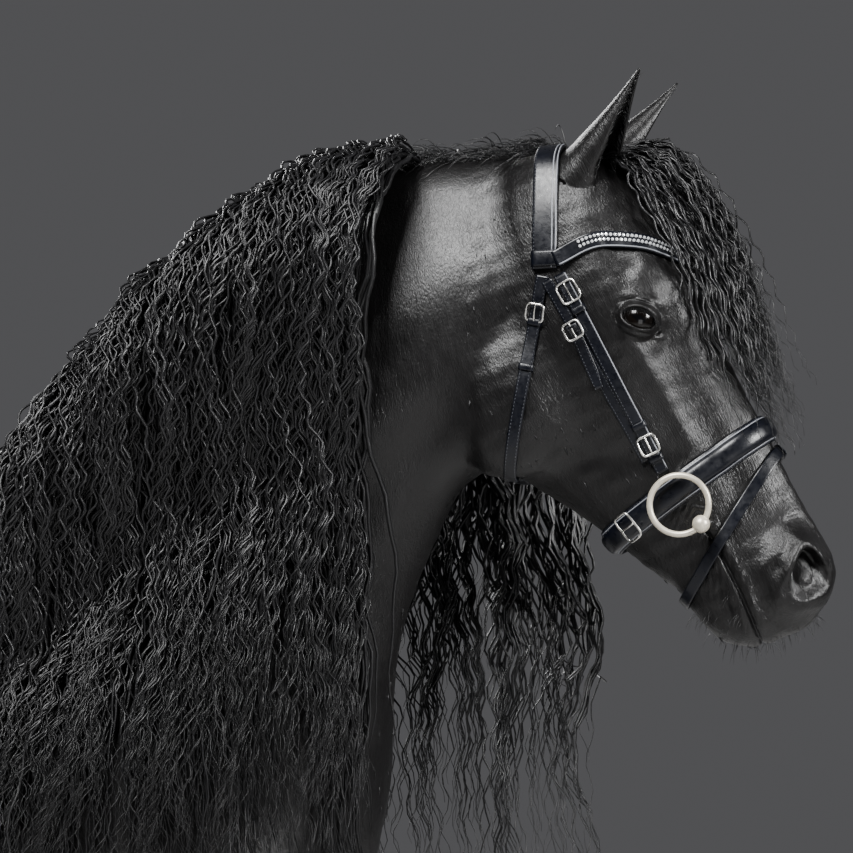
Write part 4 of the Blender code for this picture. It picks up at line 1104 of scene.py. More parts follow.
    def eye_frame(self, tree: BVHTree, side: Side) -> Matrix:
        """The frame of one eye in the skin.

        Args:
            tree: A search tree over the skin.
            side: The side that it is on.

        Returns:
            The frame, with its third axis pointing out.
        """
        start = head_point(0.181, 0.039, 0.4 * side.value)
        place, normal, _, _ = tree.ray_cast(start, Vector((0, -side.value, 0)))
        out = (normal * 0.45 + Vector((0.18, side.value, 0.02)).normalized()).normalized()
        along = (DOWN * 0.785 + FRONT * 0.62).normalized()
        along = (along - out * along.dot(out)).normalized()
        turn = Matrix((along, out.cross(along), out)).transposed().to_4x4()
        return Matrix.Translation(place - out * 0.0115) @ turn

    def eared(self, obj: bpy.types.Object) -> bpy.types.Object:
        """Unites the ears with the skin and smooths where they meet it.

        Args:
            obj: The skin without ears.

        Returns:
            The skin with ears.
        """
        group = bpy.data.collections.new("ears")
        bpy.context.scene.collection.children.link(group)
        parts = [ear.build() for ear in self.ears]
        for part in parts:
            bpy.context.scene.collection.objects.unlink(part)
            group.objects.link(part)
        step = obj.modifiers.new("ears", "BOOLEAN")
        step.operation = "UNION"
        step.operand_type = "COLLECTION"
        step.collection = group
        step.solver = "MANIFOLD"
        baked(obj)
        for part in parts:
            bpy.data.objects.remove(part)
        bpy.data.collections.remove(group)
        points, pairs = coordinates(obj.data), edge_pairs(obj.data)
        weight = np.zeros(len(points))
        for ear in self.ears:
            away = points - np.array(ear.root)
            height = away @ np.array(ear.axis)
            wide = np.linalg.norm(away - np.outer(height, ear.axis), axis=1)
            weight = np.maximum(weight, bell(height - 0.004, 0.012) * (wide < 0.055))
        set_coordinates(obj.data, relaxed(points, pairs, 10, weight))
        return obj

    def build(self) -> bpy.types.Object:
        """Builds the skin.

        Returns:
            The skin as one object, laid out from the withers.
        """
        legs = [self.leg(limb, side) for limb in Limb for side in Side]
        swells = [*self.swells(False), *self.swells(True), *self.muzzle()]
        whole = [self.trunk(), self.neck(), self.skull(), *legs, *swells]
        skin = self.blended(whole, "skin", self.body_voxel, self.body_rounds)
        fine = [self.neck(), self.skull(), *self.swells(True), *self.muzzle()]
        head = self.blended(fine, "fine_head", self.head_voxel, self.head_rounds)
        self.refined(skin, lambda points: points[:, 0] > self.fine_from, 3)
        self.fitted(skin, head)
        tree = tree_of(skin)
        self.eyes = [Eye(side, self.eye_frame(tree, side)) for side in Side]
        self.ears = [Ear(side) for side in Side]
        centres = [np.array(eye.frame.translation) for eye in self.eyes]
        self.refined(skin, lambda points: self.beside(points, centres, 0.038), 2)
        self.refined(skin, self.at_muzzle, 1)
        points, pairs = coordinates(skin.data), edge_pairs(skin.data)
        head_share = smoothstep(self.fine_from - 0.02, self.fine_from + 0.04, points[:, 0])
        set_coordinates(skin.data, relaxed(points, pairs, 5, head_share * 0.8))
        self.sculpt(skin)
        return self.eared(skin)

    def beside(self, points: np.ndarray, centres: Iterable[np.ndarray], reach: float) -> np.ndarray:
        """Which points lie near any of the centres.

        Args:
            points: The points, one row each.
            centres: The centres.
            reach: How near counts.

        Returns:
            One truth value for each point.
        """
        found = np.zeros(len(points), bool)
        for centre in centres:
            found |= np.linalg.norm(points - centre, axis=1) < reach
        return found

    def at_muzzle(self, points: np.ndarray) -> np.ndarray:
        """Which points lie at the nostrils or along the mouth.

        Args:
            points: The points, one row each.

        Returns:
            One truth value for each point.
        """
        along, out = head_places(points)
        nostril = np.hypot(along - 0.528, out - 0.086) < 0.052
        mouth = (np.abs(out - Mouth().line(along)) < 0.014) & (along > 0.395)
        low_ahead = (points[:, 2] < 1.95) & (points[:, 0] > 0.8)
        return (nostril & (np.abs(points[:, 1]) > 0.012) | mouth) & low_ahead

    def sculpt(self, obj: bpy.types.Object) -> None:
        """Gives the skin its bones, veins, lids, nostrils and mouth.

        Args:
            obj: The skin.
        """
        points, normals = coordinates(obj.data), corner_normals(obj.data)
        lift = sum(stroke.raise_by(points) for stroke in STROKES)
        ahead = points[:, 0] > self.fine_from
        lift += np.where(ahead, 0.0007, 0.0016) * waves(points, 0.085, 3) + 0.0004 * waves(points, 0.028, 4)
        points = points + normals * (lift - self.coat_depth)[:, None]
        points[:, 1] = np.clip(points[:, 1], -self.half_width, self.half_width)
        set_coordinates(obj.data, points)
        points = Mouth().sculpted(points, corner_normals(obj.data))
        for side in Side:
            points = Nostril(side).sculpted(points)
        for eye in self.eyes:
            points = eye.sculpted(points)
        set_coordinates(obj.data, points)


@dataclass(frozen=True)
class Unwrap:
    """An unwrap of the skin's own shape: tubes round the head, body, legs and tail, each in a tile."""

    body_axis: tuple[tuple[float, float], ...] = (
        (-1.15, 1.25), (-0.30, 1.20), (0.25, 1.28), (0.48, 1.60), (0.72, 2.00)
    )
    tiles: tuple[tuple[float, float, float, float], ...] = (
        (0.02, 0.52, 0.46, 0.46), (0.52, 0.52, 0.46, 0.46), (0.02, 0.02, 0.17, 0.44),
        (0.21, 0.02, 0.17, 0.44),
        (0.40, 0.02, 0.17, 0.44), (0.59, 0.02, 0.17, 0.44), (0.80, 0.02, 0.17, 0.44),
    )

    def regions(self, points: np.ndarray) -> np.ndarray:
        """Which tube each point belongs to: 0 head, 1 body, 2 to 5 legs, 6 tail.

        Args:
            points: The points, one row each.

        Returns:
            The number of its tube for each point.
        """
        found = np.where(points[:, 0] > 0.70, 0, 1)
        low = points[:, 2] < 0.86
        leg = np.where(points[:, 0] > -0.4, 2, 4) + (points[:, 1] > 0)
        found = np.where(low, leg, found)
        return np.where((points[:, 0] < -1.12) & (points[:, 2] > 0.1), 6, found)

    def tubes(self, points: np.ndarray, region: np.ndarray) -> tuple[np.ndarray, np.ndarray]:
        """Where points lie round and along their tubes.

        Args:
            points: The points, one row each.
            region: The tube of each one.

        Returns:
            The angle round the tube, from -pi to pi, and the share of its length.
        """
        x, y, z = points.T
        along, out = head_places(points)
        angle = np.arctan2(y, out + 0.02)
        share = (along + 0.20) / 0.85
        axis = np.array(self.body_axis)
        steps = np.linalg.norm(np.diff(axis, axis=0), axis=1)
        best = np.full(len(points), 9.0)
        for k, (start, end) in enumerate(zip(axis[:-1], axis[1:])):
            run = (end - start) / steps[k]
            away = points[:, [0, 2]] - start
            part = np.clip(away @ run, 0, steps[k])
            off = away - np.outer(part, run)
            far = np.linalg.norm(off, axis=1)
            nearer = (far < best) & (region == 1)
            best = np.where(nearer, far, best)
            side = off @ np.array((-run[1], run[0]))
            angle = np.where(nearer, np.arctan2(y, side), angle)
            share = np.where(nearer, (steps[:k].sum() + part) / steps.sum(), share)
        for k, (limb, side) in enumerate((limb, side) for limb in Limb for side in (Side.RIGHT, Side.LEFT)):
            rows = np.array(LEGS[limb])[::-1]
            middle = np.interp(z, rows[:, 0], rows[:, 1]) + STANCE[limb, side] * np.clip(1 - z, 0, 1)
            here = region == 2 + k
            angle = np.where(here, np.arctan2(y - FOOT_CENTRE[limb][1] * side.value, x - middle), angle)
            share = np.where(here, z / 0.9, share)
        here = region == 6
        angle = np.where(here, np.arctan2(y, -x - 1.16), angle)
        return angle, np.where(here, z / 1.6, share)

    def placed(self, points: np.ndarray, groups: int = 1) -> np.ndarray:
        """The UV places of points, with each group of them kept together in one tile.

        Args:
            points: The points, group after group.
            groups: How many points each group has.

        Returns:
            A row of U and V for each point.
        """
        middles = points.reshape(-1, groups, 3).mean(axis=1)
        region = self.regions(middles)
        each = np.repeat(region, groups)
        angle, share = self.tubes(points, each)
        lead = np.repeat(self.tubes(middles, region)[0], groups)
        turn = lead + (angle - lead + math.pi) % (2 * math.pi) - math.pi
        tile = np.array(self.tiles)[each]
        spots = np.stack([0.04 + 0.92 * (turn / (2 * math.pi) + 0.5), np.clip(share, 0, 1)], 1)
        return tile[:, :2] + np.clip(spots, 0, 1) * tile[:, 2:]


def set_uv(mesh: bpy.types.Mesh, name: str, rows: np.ndarray) -> None:
    """Gives a mesh a UV map.

    Args:
        mesh: The mesh.
        name: The map's name.
        rows: U and V for every corner of every face.
    """
    layer = mesh.uv_layers.new(name=name)
    layer.uv.foreach_set("vector", np.asarray(rows, np.float32).ravel())


def unwrap_skin(obj: bpy.types.Object) -> None:
    """Turns the skin's faces into triangles and lays it out flat.

    Args:
        obj: The skin.
    """
    work = bmesh.new()
    work.from_mesh(obj.data)
    bmesh.ops.triangulate(work, faces=work.faces)
    work.to_mesh(obj.data)
    work.free()
    corners = coordinates(obj.data)[loop_corners(obj.data)]
    set_uv(obj.data, UV_NAME, Unwrap().placed(corners, 3))
    obj.data.polygons.foreach_set("use_smooth", np.ones(len(obj.data.polygons), bool))


@dataclass(frozen=True)
class HairStyle:
    """How a bunch of hair looks: its strands, the locks that they gather in and the way that they wave."""

    strands: int
    locks: int
    stations: int
    width: float
    crimp: tuple[float, float] = (0.034, 0.0040)
    swing: tuple[float, float] = (0.330, 0.010)
    clump: float = 0.55
    ragged: float = 0.20
    stray: float = 0.012
    tip: float = 0.18
    layers: tuple[float, float] = (0.0, 1.0)
    seed: int = 1
    pieces: int = 1


STYLES = {
    "mane_under": HairStyle(
        330, 90, 42, 0.0066, (0.08, 0.003), ragged=0.12, clump=0.1, layers=(0.0, 0.22), seed=5
    ),
    "mane_near": HairStyle(
        1000, 120, 104, 0.0034, (0.041, 0.0037), (0.27, 0.013),
        ragged=0.14, stray=0.010, layers=(0.25, 1.0), seed=6, pieces=4,
    ),
    "mane_far": HairStyle(400, 30, 74, 0.0046, (0.060, 0.0040), (0.30, 0.020), ragged=0.30, seed=7),
    "forelock": HairStyle(
        520, 50, 48, 0.0031, (0.036, 0.0034), (0.20, 0.007), ragged=0.35, stray=0.014, seed=8
    ),
    "tail_hair": HairStyle(460, 56, 42, 0.0064, (0.11, 0.005), ragged=0.14, stray=0.012, seed=9),
    "feather": HairStyle(300, 44, 12, 0.0040, (0.080, 0.002), (0.2, 0.003), ragged=0.14, seed=10),
}


@dataclass
class Guides:
    """A sheet of guide lines for hair, by their place along the roots and their layer from the skin out."""

    points: np.ndarray
    faces: np.ndarray

    @staticmethod
    def sheet(rows: int, layers: int, stations: int, line_at: Callable[[int, int], tuple]) -> "Guides":
        """The sheet of the lines, and of the ways that they face, that a function gives.

        Args:
            rows: How many lines there are along the roots.
            layers: How many there are from the skin out.
            stations: How many stations each one gets.
            line_at: Gives the line of a row and a layer, and the way that it faces.

        Returns:
            The sheet.
        """
        points = np.empty((rows, layers, stations, 3))
        faces = np.empty_like(points)
        for i in range(rows):
            for j in range(layers):
                points[i, j], faces[i, j] = even_line(*line_at(i, j), stations)
        return Guides(points, faces)

    def spread(self, share: np.ndarray, layer: np.ndarray) -> tuple[np.ndarray, np.ndarray]:
        """Guide lines at any place between those of the sheet.

        Args:
            share: The place of each line along the roots, from 0 to 1.
            layer: Its place between the inmost and the outmost layer, from 0 to 1.

        Returns:
            The points and the facings, as lines x stations x 3.
        """
        rows, layers = self.points.shape[:2]
        s, l = np.clip(share, 0, 1) * (rows - 1), np.clip(layer, 0, 1) * (layers - 1)
        i, j = np.minimum(s.astype(int), rows - 2), np.minimum(l.astype(int), max(layers - 2, 0))
        f, g = (s - i)[:, None, None], (l - j)[:, None, None]
        k = np.minimum(j + 1, layers - 1)
        found = []
        for table in (self.points, self.faces):
            low = table[i, j] * (1 - f) + table[i + 1, j] * f
            high = table[i, k] * (1 - f) + table[i + 1, k] * f
            found.append(low * (1 - g) + high * g)
        return found[0], found[1]


def even_line(points: Sequence, faces: Sequence, count: int) -> tuple[np.ndarray, np.ndarray]:
    """A line and its facings at evenly spaced stations.

    Args:
        points: The points, one row each.
        faces: The facing at each point.
        count: How many stations there are.

    Returns:
        The points and the facings at the stations.
    """
    line, ways = np.array(points, float), np.array(faces, float)
    reach = distances(line)
    marks = np.linspace(0, reach[-1], count)
    return between(marks, reach, line), unit(between(marks, reach, ways))


def fall(
    tree: BVHTree,
    root: Vector,
    way: Vector,
    length: float,
    off: float,
    lean: Vector,
    turn: float = 0.16,
    cling: float = 0.0,
) -> tuple[list[Vector], list[Vector]]:
    """The way that hair falls from a root in the skin and over what is below it.

    Args:
        tree: What it falls over.
        root: Where it grows.
        way: The way that it leaves the skin.
        length: How long it is.
        off: How far off the skin it hangs.
        lean: What its fall is turned by.
        turn: How soon it turns down.
        cling: How strongly it comes back sideways to the skin.

    Returns:
        Points down its middle, and the way that the skin faces at each.
    """
    step, sunk = 0.014, 0.006
    spot, heading = root, way.normalized()
    points, faces = [], []
    for k in range(max(5, round(length / step)) + 1):
        distance, out = clearance(tree, spot)
        least = -sunk + (off + sunk) * min(1.0, k / 4)
        if distance < least or k == 0:
            spot = spot + out * (least - distance)
        points.append(spot)
        faces.append(out)
        if k:
            heading = (points[-1] - points[-2]).normalized()
        share = 1 - (1 - turn) ** (step / 0.024)
        inwards = Vector((0, -out.y * cling * max(0.0, distance - off), 0))
        heading = (heading * (1 - share) + (Vector((0, 0, -1)) + lean + inwards) * share).normalized()
        spot = spot + heading * step
    return points, faces


class Hair:
    """Hair as closed, tapering strands with three sides, gathered in locks."""

    most_width: float = 0.318
    most_height: float = 2.235
    least_height: float = 0.004
    rearmost: float = -1.242

    def __init__(self, name: str, guides: Guides, style: HairStyle) -> None:
        """Takes the guide lines and the style that the strands follow.

        Args:
            name: Its name.
            guides: The lines that it follows.
            style: How its strands lie.
        """
        self.name = name
        self.guides = guides
        self.style = style
        self.draw = np.random.default_rng(style.seed)

    def lines(self) -> tuple[np.ndarray, np.ndarray, np.ndarray]:
        """The strands' middle lines.

        Returns:
            Their points and facings, as strands x stations x 3, and the tone of each strand from 0 to 1.
        """
        style, draw = self.style, self.draw
        lock = np.sort(draw.integers(0, style.locks, style.strands))
        lock_share = (np.arange(style.locks) + draw.uniform(0.1, 0.9, style.locks)) / style.locks
        low, high = style.layers
        lock_layer = low + (high - low) * draw.uniform(0, 1, style.locks) ** 0.7
        lock_reach = 1 - style.ragged * draw.uniform(0, 1, style.locks) ** 1.5
        spread = 1.6 / style.locks
        own_share = lock_share[lock] + draw.normal(0, spread, style.strands)
        own_layer = np.clip(lock_layer[lock] + draw.normal(0, 0.15, style.strands), low, high)
        shorter = style.ragged * 0.5 * draw.uniform(0, 1, style.strands) ** 2
        reach = np.clip(lock_reach[lock] - shorter, 0.2, 1.0)
        points, faces = self.guides.spread(own_share, own_layer)
        middle, _ = self.guides.spread(lock_share[lock], lock_layer[lock])
        stations = self.guides.points.shape[2]
        marks = np.linspace(0, 1, style.stations)[None] * reach[:, None] * (stations - 1)
        i = np.minimum(marks.astype(int), stations - 2)
        f = (marks - i)[..., None]
        rows = np.arange(style.strands)[:, None]
        line, facing, core = (t[rows, i] * (1 - f) + t[rows, i + 1] * f for t in (points, faces, middle))
        t = np.linspace(0, 1, style.stations)[None, :, None]
        gather = style.clump * smoothstep(0.05, 0.75, t)
        line = line * (1 - gather) + core * gather
        facing = unit(facing)
        run = unit(np.gradient(line, axis=1))
        across = unit(np.cross(run, facing))
        length = np.linalg.norm(np.diff(line, axis=1), axis=2).sum(axis=1)[:, None, None]
        lift = smoothstep(0.0, 0.11, t * length)
        far = t * length * 2 * math.pi

        def phase(share: float) -> np.ndarray:
            """A phase for each strand, partly its lock's and partly its own."""
            own = draw.uniform(-math.pi, math.pi, style.strands) * share
            return (draw.uniform(0, 2 * math.pi, style.locks)[lock] + own)[:, None, None]

        size = draw.uniform(0.6, 1.3, style.strands)[:, None, None]
        stretch = draw.uniform(0.88, 1.14, style.locks)[lock] * draw.uniform(0.996, 1.004, style.strands)
        stretch = stretch[:, None, None]
        crimp = far / (style.crimp[0] * stretch)
        sway = far / (style.swing[0] * stretch)
        begun, swung = phase(0.10), phase(0.08)
        side = style.crimp[1] * size * np.sin(crimp + begun) + style.swing[1] * np.sin(sway + swung)
        deep = style.crimp[1] * 0.9 * size * np.sin(crimp + begun + 0.9)
        deep = deep + style.swing[1] * 0.3 * np.sin(sway * 0.8 + phase(0.1))
        loose = draw.normal(0, 1, (2, style.strands, 1, 1)) * style.stray * t**1.3
        loose = loose * (0.3 + 1.6 * (draw.random((style.strands, 1, 1)) < 0.08))
        line = line + lift * (across * (side + loose[0]) + facing * (deep + np.abs(loose[1]) * 0.7))
        tone = np.clip(draw.random(style.locks)[lock] * 0.5 + draw.random(style.strands) * 0.5, 0, 1)
        return line, facing, tone

    def build(self) -> list[bpy.types.Object]:
        """Builds the strands, kept within the room that the solids take up.

        Returns:
            The new objects, laid out from the withers.
        """
        style = self.style
        line, facing, tone = self.lines()
        line[..., 2] = np.clip(line[..., 2], self.least_height, self.most_height)
        line[..., 1] = np.clip(line[..., 1], -self.most_width, self.most_width)
        line[..., 0] = np.maximum(line[..., 0], self.rearmost)
        found = []
        for k, chosen in enumerate(np.array_split(np.arange(len(line)), style.pieces)):
            name = self.name if style.pieces == 1 else f"{self.name}_{k + 1}"
            found.append(strands(name, line[chosen], facing[chosen], tone[chosen], style.width, style.tip))
        return found


def strands(
    name: str, line: np.ndarray, facing: np.ndarray, tone: np.ndarray, width: float, tip: float
) -> bpy.types.Object:
    """Closed tapering strands with three sides.

    Args:
        name: The object's name.
        line: Their middle lines, as strands x stations x 3.
        facing: The way that each station faces.
        tone: The tone of each strand, from 0 to 1.
        width: How wide they are.
        tip: How much of that width is left at the tip.

    Returns:
        The new object, with its UV maps.
    """
    count, stations = line.shape[:2]
    t = np.linspace(0, 1, stations)[None, :, None]
    run = unit(np.gradient(line, axis=1))
    across = unit(np.cross(run, facing))
    out = np.cross(across, run)
    ends = (1 - (1 - tip) * smoothstep(0.55, 1.0, t)) * (0.6 + 0.4 * smoothstep(0, 0.1, t))
    half = width / 2 * (0.75 + 0.5 * tone[:, None, None]) * ends
    low = out * half * 0.35
    rings = np.stack([line - across * half - low, line + across * half - low, line + out * half * 0.75], 2)
    points = rings.reshape(-1, 3)
    base = (np.arange(count) * stations * 3)[:, None, None]
    ring = base + (np.arange(stations - 1) * 3)[None, :, None]
    k = np.arange(3)[None, None]
    n = (k + 1) % 3
    quads = np.stack([ring + k, ring + n, ring + n + 3, ring + k + 3], -1).reshape(-1, 4)
    faces = np.concatenate([quads[:, [0, 1, 2]], quads[:, [0, 2, 3]]])
    start = base[:, 0, 0]
    end = start + (stations - 1) * 3
    caps = np.concatenate([np.stack([start, start + 2, start + 1], 1), np.stack([end, end + 1, end + 2], 1)])
    mesh = new_mesh(name, points, np.concatenate([faces, caps]))
    corner = loop_corners(mesh)
    strand, station, side = corner // (stations * 3), corner // 3 % stations, corner % 3
    root = Unwrap().placed(line[:, 0])
    patch = np.stack([side / 2.0, station / (stations - 1)], 1) * PATCH
    set_uv(mesh, UV_NAME, root[strand] + patch)
    number = np.floor(tone[strand] * STRAND_TONES)
    set_uv(mesh, "strand", np.stack([number + np.array(ACROSS_STRAND)[side], station / (stations - 1)], 1))
    return new_object(name, mesh)


@dataclass(frozen=True)
class Mane:
    """One side of the mane."""

    side: Side
    first: float
    last: float
    long: float
    short: float
    forward: float = 0.0
    cling: float = 7.0
    offs: tuple[float, ...] = (0.006, 0.022, 0.040)
    rows: int = 26
    stations: int = 70
    seed: int = 3

    def root(self, share: float, y: float) -> Vector:
        """A point on the crest, from 0 at the poll to 1 at the withers.

        Args:
            share: The place along the crest.
            y: How far it lies from the middle.

        Returns:
            The point.
        """
        line = smooth_rows([row[:2] for row in NECK[::-1]] + [CREST_END], 400)
        x, z = line[min(399, max(0, round(share * 399)))]
        return Vector((x, y, z))

    def guides(self, tree: BVHTree) -> Guides:
        """The lines that its hair follows over the skin.

        Args:
            tree: A search tree over the skin.

        Returns:
            The lines.
        """
        back = np.random.default_rng(self.seed).uniform(-0.16, -0.06, self.rows)

        def line_at(i: int, j: int) -> tuple[list[Vector], list[Vector]]:
            """The line of one place along the crest and one layer.

            Args:
                i: The number of the place.
                j: The number of the layer.

            Returns:
                Its points and its facings.
            """
            share = i / (self.rows - 1)
            length = (self.long + (self.short - self.long) * share) * (1 - 0.05 * j)
            root = self.root(self.first + (self.last - self.first) * share, 0.012 * self.side.value)
            way = Vector((back[i] + self.forward * (1 - share), 0.8 * self.side.value, 0.30 + 0.16 * j))
            lean = Vector((self.forward * (1 - share) * 0.35, 0, 0))
            return fall(tree, root, way, length, self.offs[j], lean, cling=self.cling)

        return Guides.sheet(self.rows, len(self.offs), self.stations, line_at)


@dataclass(frozen=True)
class Forelock:
    """The forelock over the forehead."""

    spread: tuple[float, float] = (-0.022, 0.046)
    length: float = 0.500
    offs: tuple[float, ...] = (0.004, 0.024, 0.046)
    rows: int = 12
    stations: int = 44

    def guides(self, tree: BVHTree) -> Guides:
        """The lines that its hair follows over the face.

        Args:
            tree: A search tree over the skin.

        Returns:
            The lines.
        """
        places = np.linspace(*self.spread, self.rows)

        def line_at(i: int, j: int) -> tuple[list[Vector], list[Vector]]:
            """The line of one place across the forehead and one layer.

            Args:
                i: The number of the place.
                j: The number of the layer.

            Returns:
                Its points and its facings.
            """
            y = float(places[i])
            root = head_point(-0.038 + 0.006 * j, 0.062, y * 0.8)
            way = Vector((1.0, y * 6, 0.06 + 0.13 * j))
            lean = Vector((0.14 + 0.09 * j, y + 0.020, 0.0))
            return fall(tree, root, way, self.length * (1 - abs(y) * 2.6), self.offs[j], lean, 0.30)

        return Guides.sheet(self.rows, len(self.offs), self.stations, line_at)


@dataclass(frozen=True)
class Tail:
    """The tail, from its dock nearly to the ground."""

    rows: int = 25
    stations: int = 60
    reaches: tuple[float, ...] = (0.25, 0.60, 0.92)

    def guides(self) -> Guides:
        """The lines that its hair follows round the dock and down.

        Returns:
            The lines.
        """
        line = smooth_rows(TAIL, 90)[8:]
        angles = np.linspace(0, 2 * math.pi, self.rows)

        def line_at(i: int, j: int) -> tuple[list, list]:
            """The line of one place round the dock and one reach.

            Args:
                i: The number of the place.
                j: The number of the reach.

            Returns:
                Its points and its facings.
            """
            way = np.array((math.cos(angles[i]), math.sin(angles[i]), 0.0))
            path = []
            for k, (x, z, deep, wide) in enumerate(line):
                full = 0.35 + (self.reaches[j] - 0.35) * min(1.0, k / 16)
                path.append((x + deep * full * way[0], wide * full * way[1], z))
            return path, [way] * len(path)

        return Guides.sheet(self.rows, len(self.reaches), self.stations, line_at)

    def core(self) -> bpy.types.Object:
        """The dock under the hair.

        Returns:
            The new object.
        """
        rows = smooth_rows(TAIL[:6], 40)
        middles = rows[:, :2]
        runs = unit(np.gradient(middles, axis=0))
        rings = []
        for k, ((x, z, deep, wide), run) in enumerate(zip(rows, runs)):
            full = 1.0 - 0.55 * min(1.0, k / 14)
            out = (-run[1], 0, run[0])
            half_wide, half_deep = wide * full * 0.9, deep * full * 0.9
            rings.append(section((x, 0, z), (0, 1, 0), out, half_wide, half_deep, half_deep, 2.0, count=24))
        return loft("tail_dock", np.array(rings))


@dataclass(frozen=True)
class Feather:
    """The long hair round one foot."""

    limb: Limb
    side: Side
    tips: float = 0.008
    offs: tuple[float, ...] = (0.004, 0.012, 0.021)
    rows: int = 21
    stations: int = 24

    def guides(self, tree: BVHTree) -> Guides:
        """The lines that its hair follows, longest and highest behind.

        Args:
            tree: A search tree over the skin.

        Returns:
            The lines.
        """
        front, behind = {Limb.FORE: (0.205, 0.375), Limb.HIND: (0.215, 0.405)}[self.limb]
        rows = np.array(LEGS[self.limb])[::-1]
        angles = np.linspace(0, 2 * math.pi, self.rows)

        def line_at(i: int, j: int) -> tuple[list[Vector], list[Vector]]:
            """The line of one place round the foot and one layer.

            Args:
                i: The number of the place.
                j: The number of the layer.

            Returns:
                Its points and its facings.
            """
            behindness = ((1 - math.cos(angles[i])) / 2) ** 1.6
            height = front + (behind - front) * behindness * (0.70 + 0.14 * j)
            way = Vector((math.cos(angles[i]), math.sin(angles[i]), 0))
            x = float(np.interp(height, rows[:, 0], rows[:, 1])) + stance_shift(self.limb, self.side, height)
            middle = Vector((x, FOOT_CENTRE[self.limb][1] * self.side.value, height))
            root = tree.ray_cast(middle + way * 0.2, -way)[0]
            start = way * 0.5 + Vector((0, 0, -1))
            return fall(tree, root, start, height - self.tips, self.offs[j], way * 0.05, 0.40)

        return Guides.sheet(self.rows, len(self.offs), self.stations, line_at)


class Worn:
    """What lies under the next piece of the bridle."""

    deepest: float = 0.014

    def __init__(self, *objects: bpy.types.Object) -> None:
        """Starts with the skin."""
        self.trees = [tree_of(obj) for obj in objects]

    def add(self, obj: bpy.types.Object) -> bpy.types.Object:
        """Takes in one more piece."""
        self.trees.append(tree_of(obj))
        return obj

    def clearance(self, point: Vector) -> float:
        """How far a point lies outside all that is worn. What is deeper than a strap counts as outside."""
        found = (clearance(tree, point)[0] for tree in self.trees)
        return min(abs(value) if value < -self.deepest else value for value in found)


@dataclass(frozen=True)
class Profile:
    """The section of a strap: places across it from -1 to 1, and heights as shares of its thickness."""

    corners: tuple[tuple[float, float], ...]

    @staticmethod
    def flat() -> "Profile":
        """Flat leather with eased edges."""
        half = ((0.0, 0.0), (0.90, 0.0), (0.985, 0.16), (1.0, 0.5), (0.975, 0.84), (0.90, 0.99), (0.72, 1.0))
        return Profile((*half[::-1], *((-x, z) for x, z in half[1:]), (0.0, 1.0)))

    @staticmethod
    def padded() -> "Profile":
        """A padded roll between two flat edges.

        Returns:
            The profile.
        """
        half = (
            (0.0, 0.0), (0.90, 0.0), (1.0, 0.10), (1.0, 0.26), (0.94, 0.36), (0.80, 0.36), (0.76, 0.50),
            (0.66, 0.74), (0.50, 0.90), (0.26, 0.98),
        )
        return Profile((*half[::-1], *((-x, z) for x, z in half[1:]), (0.0, 1.0)))


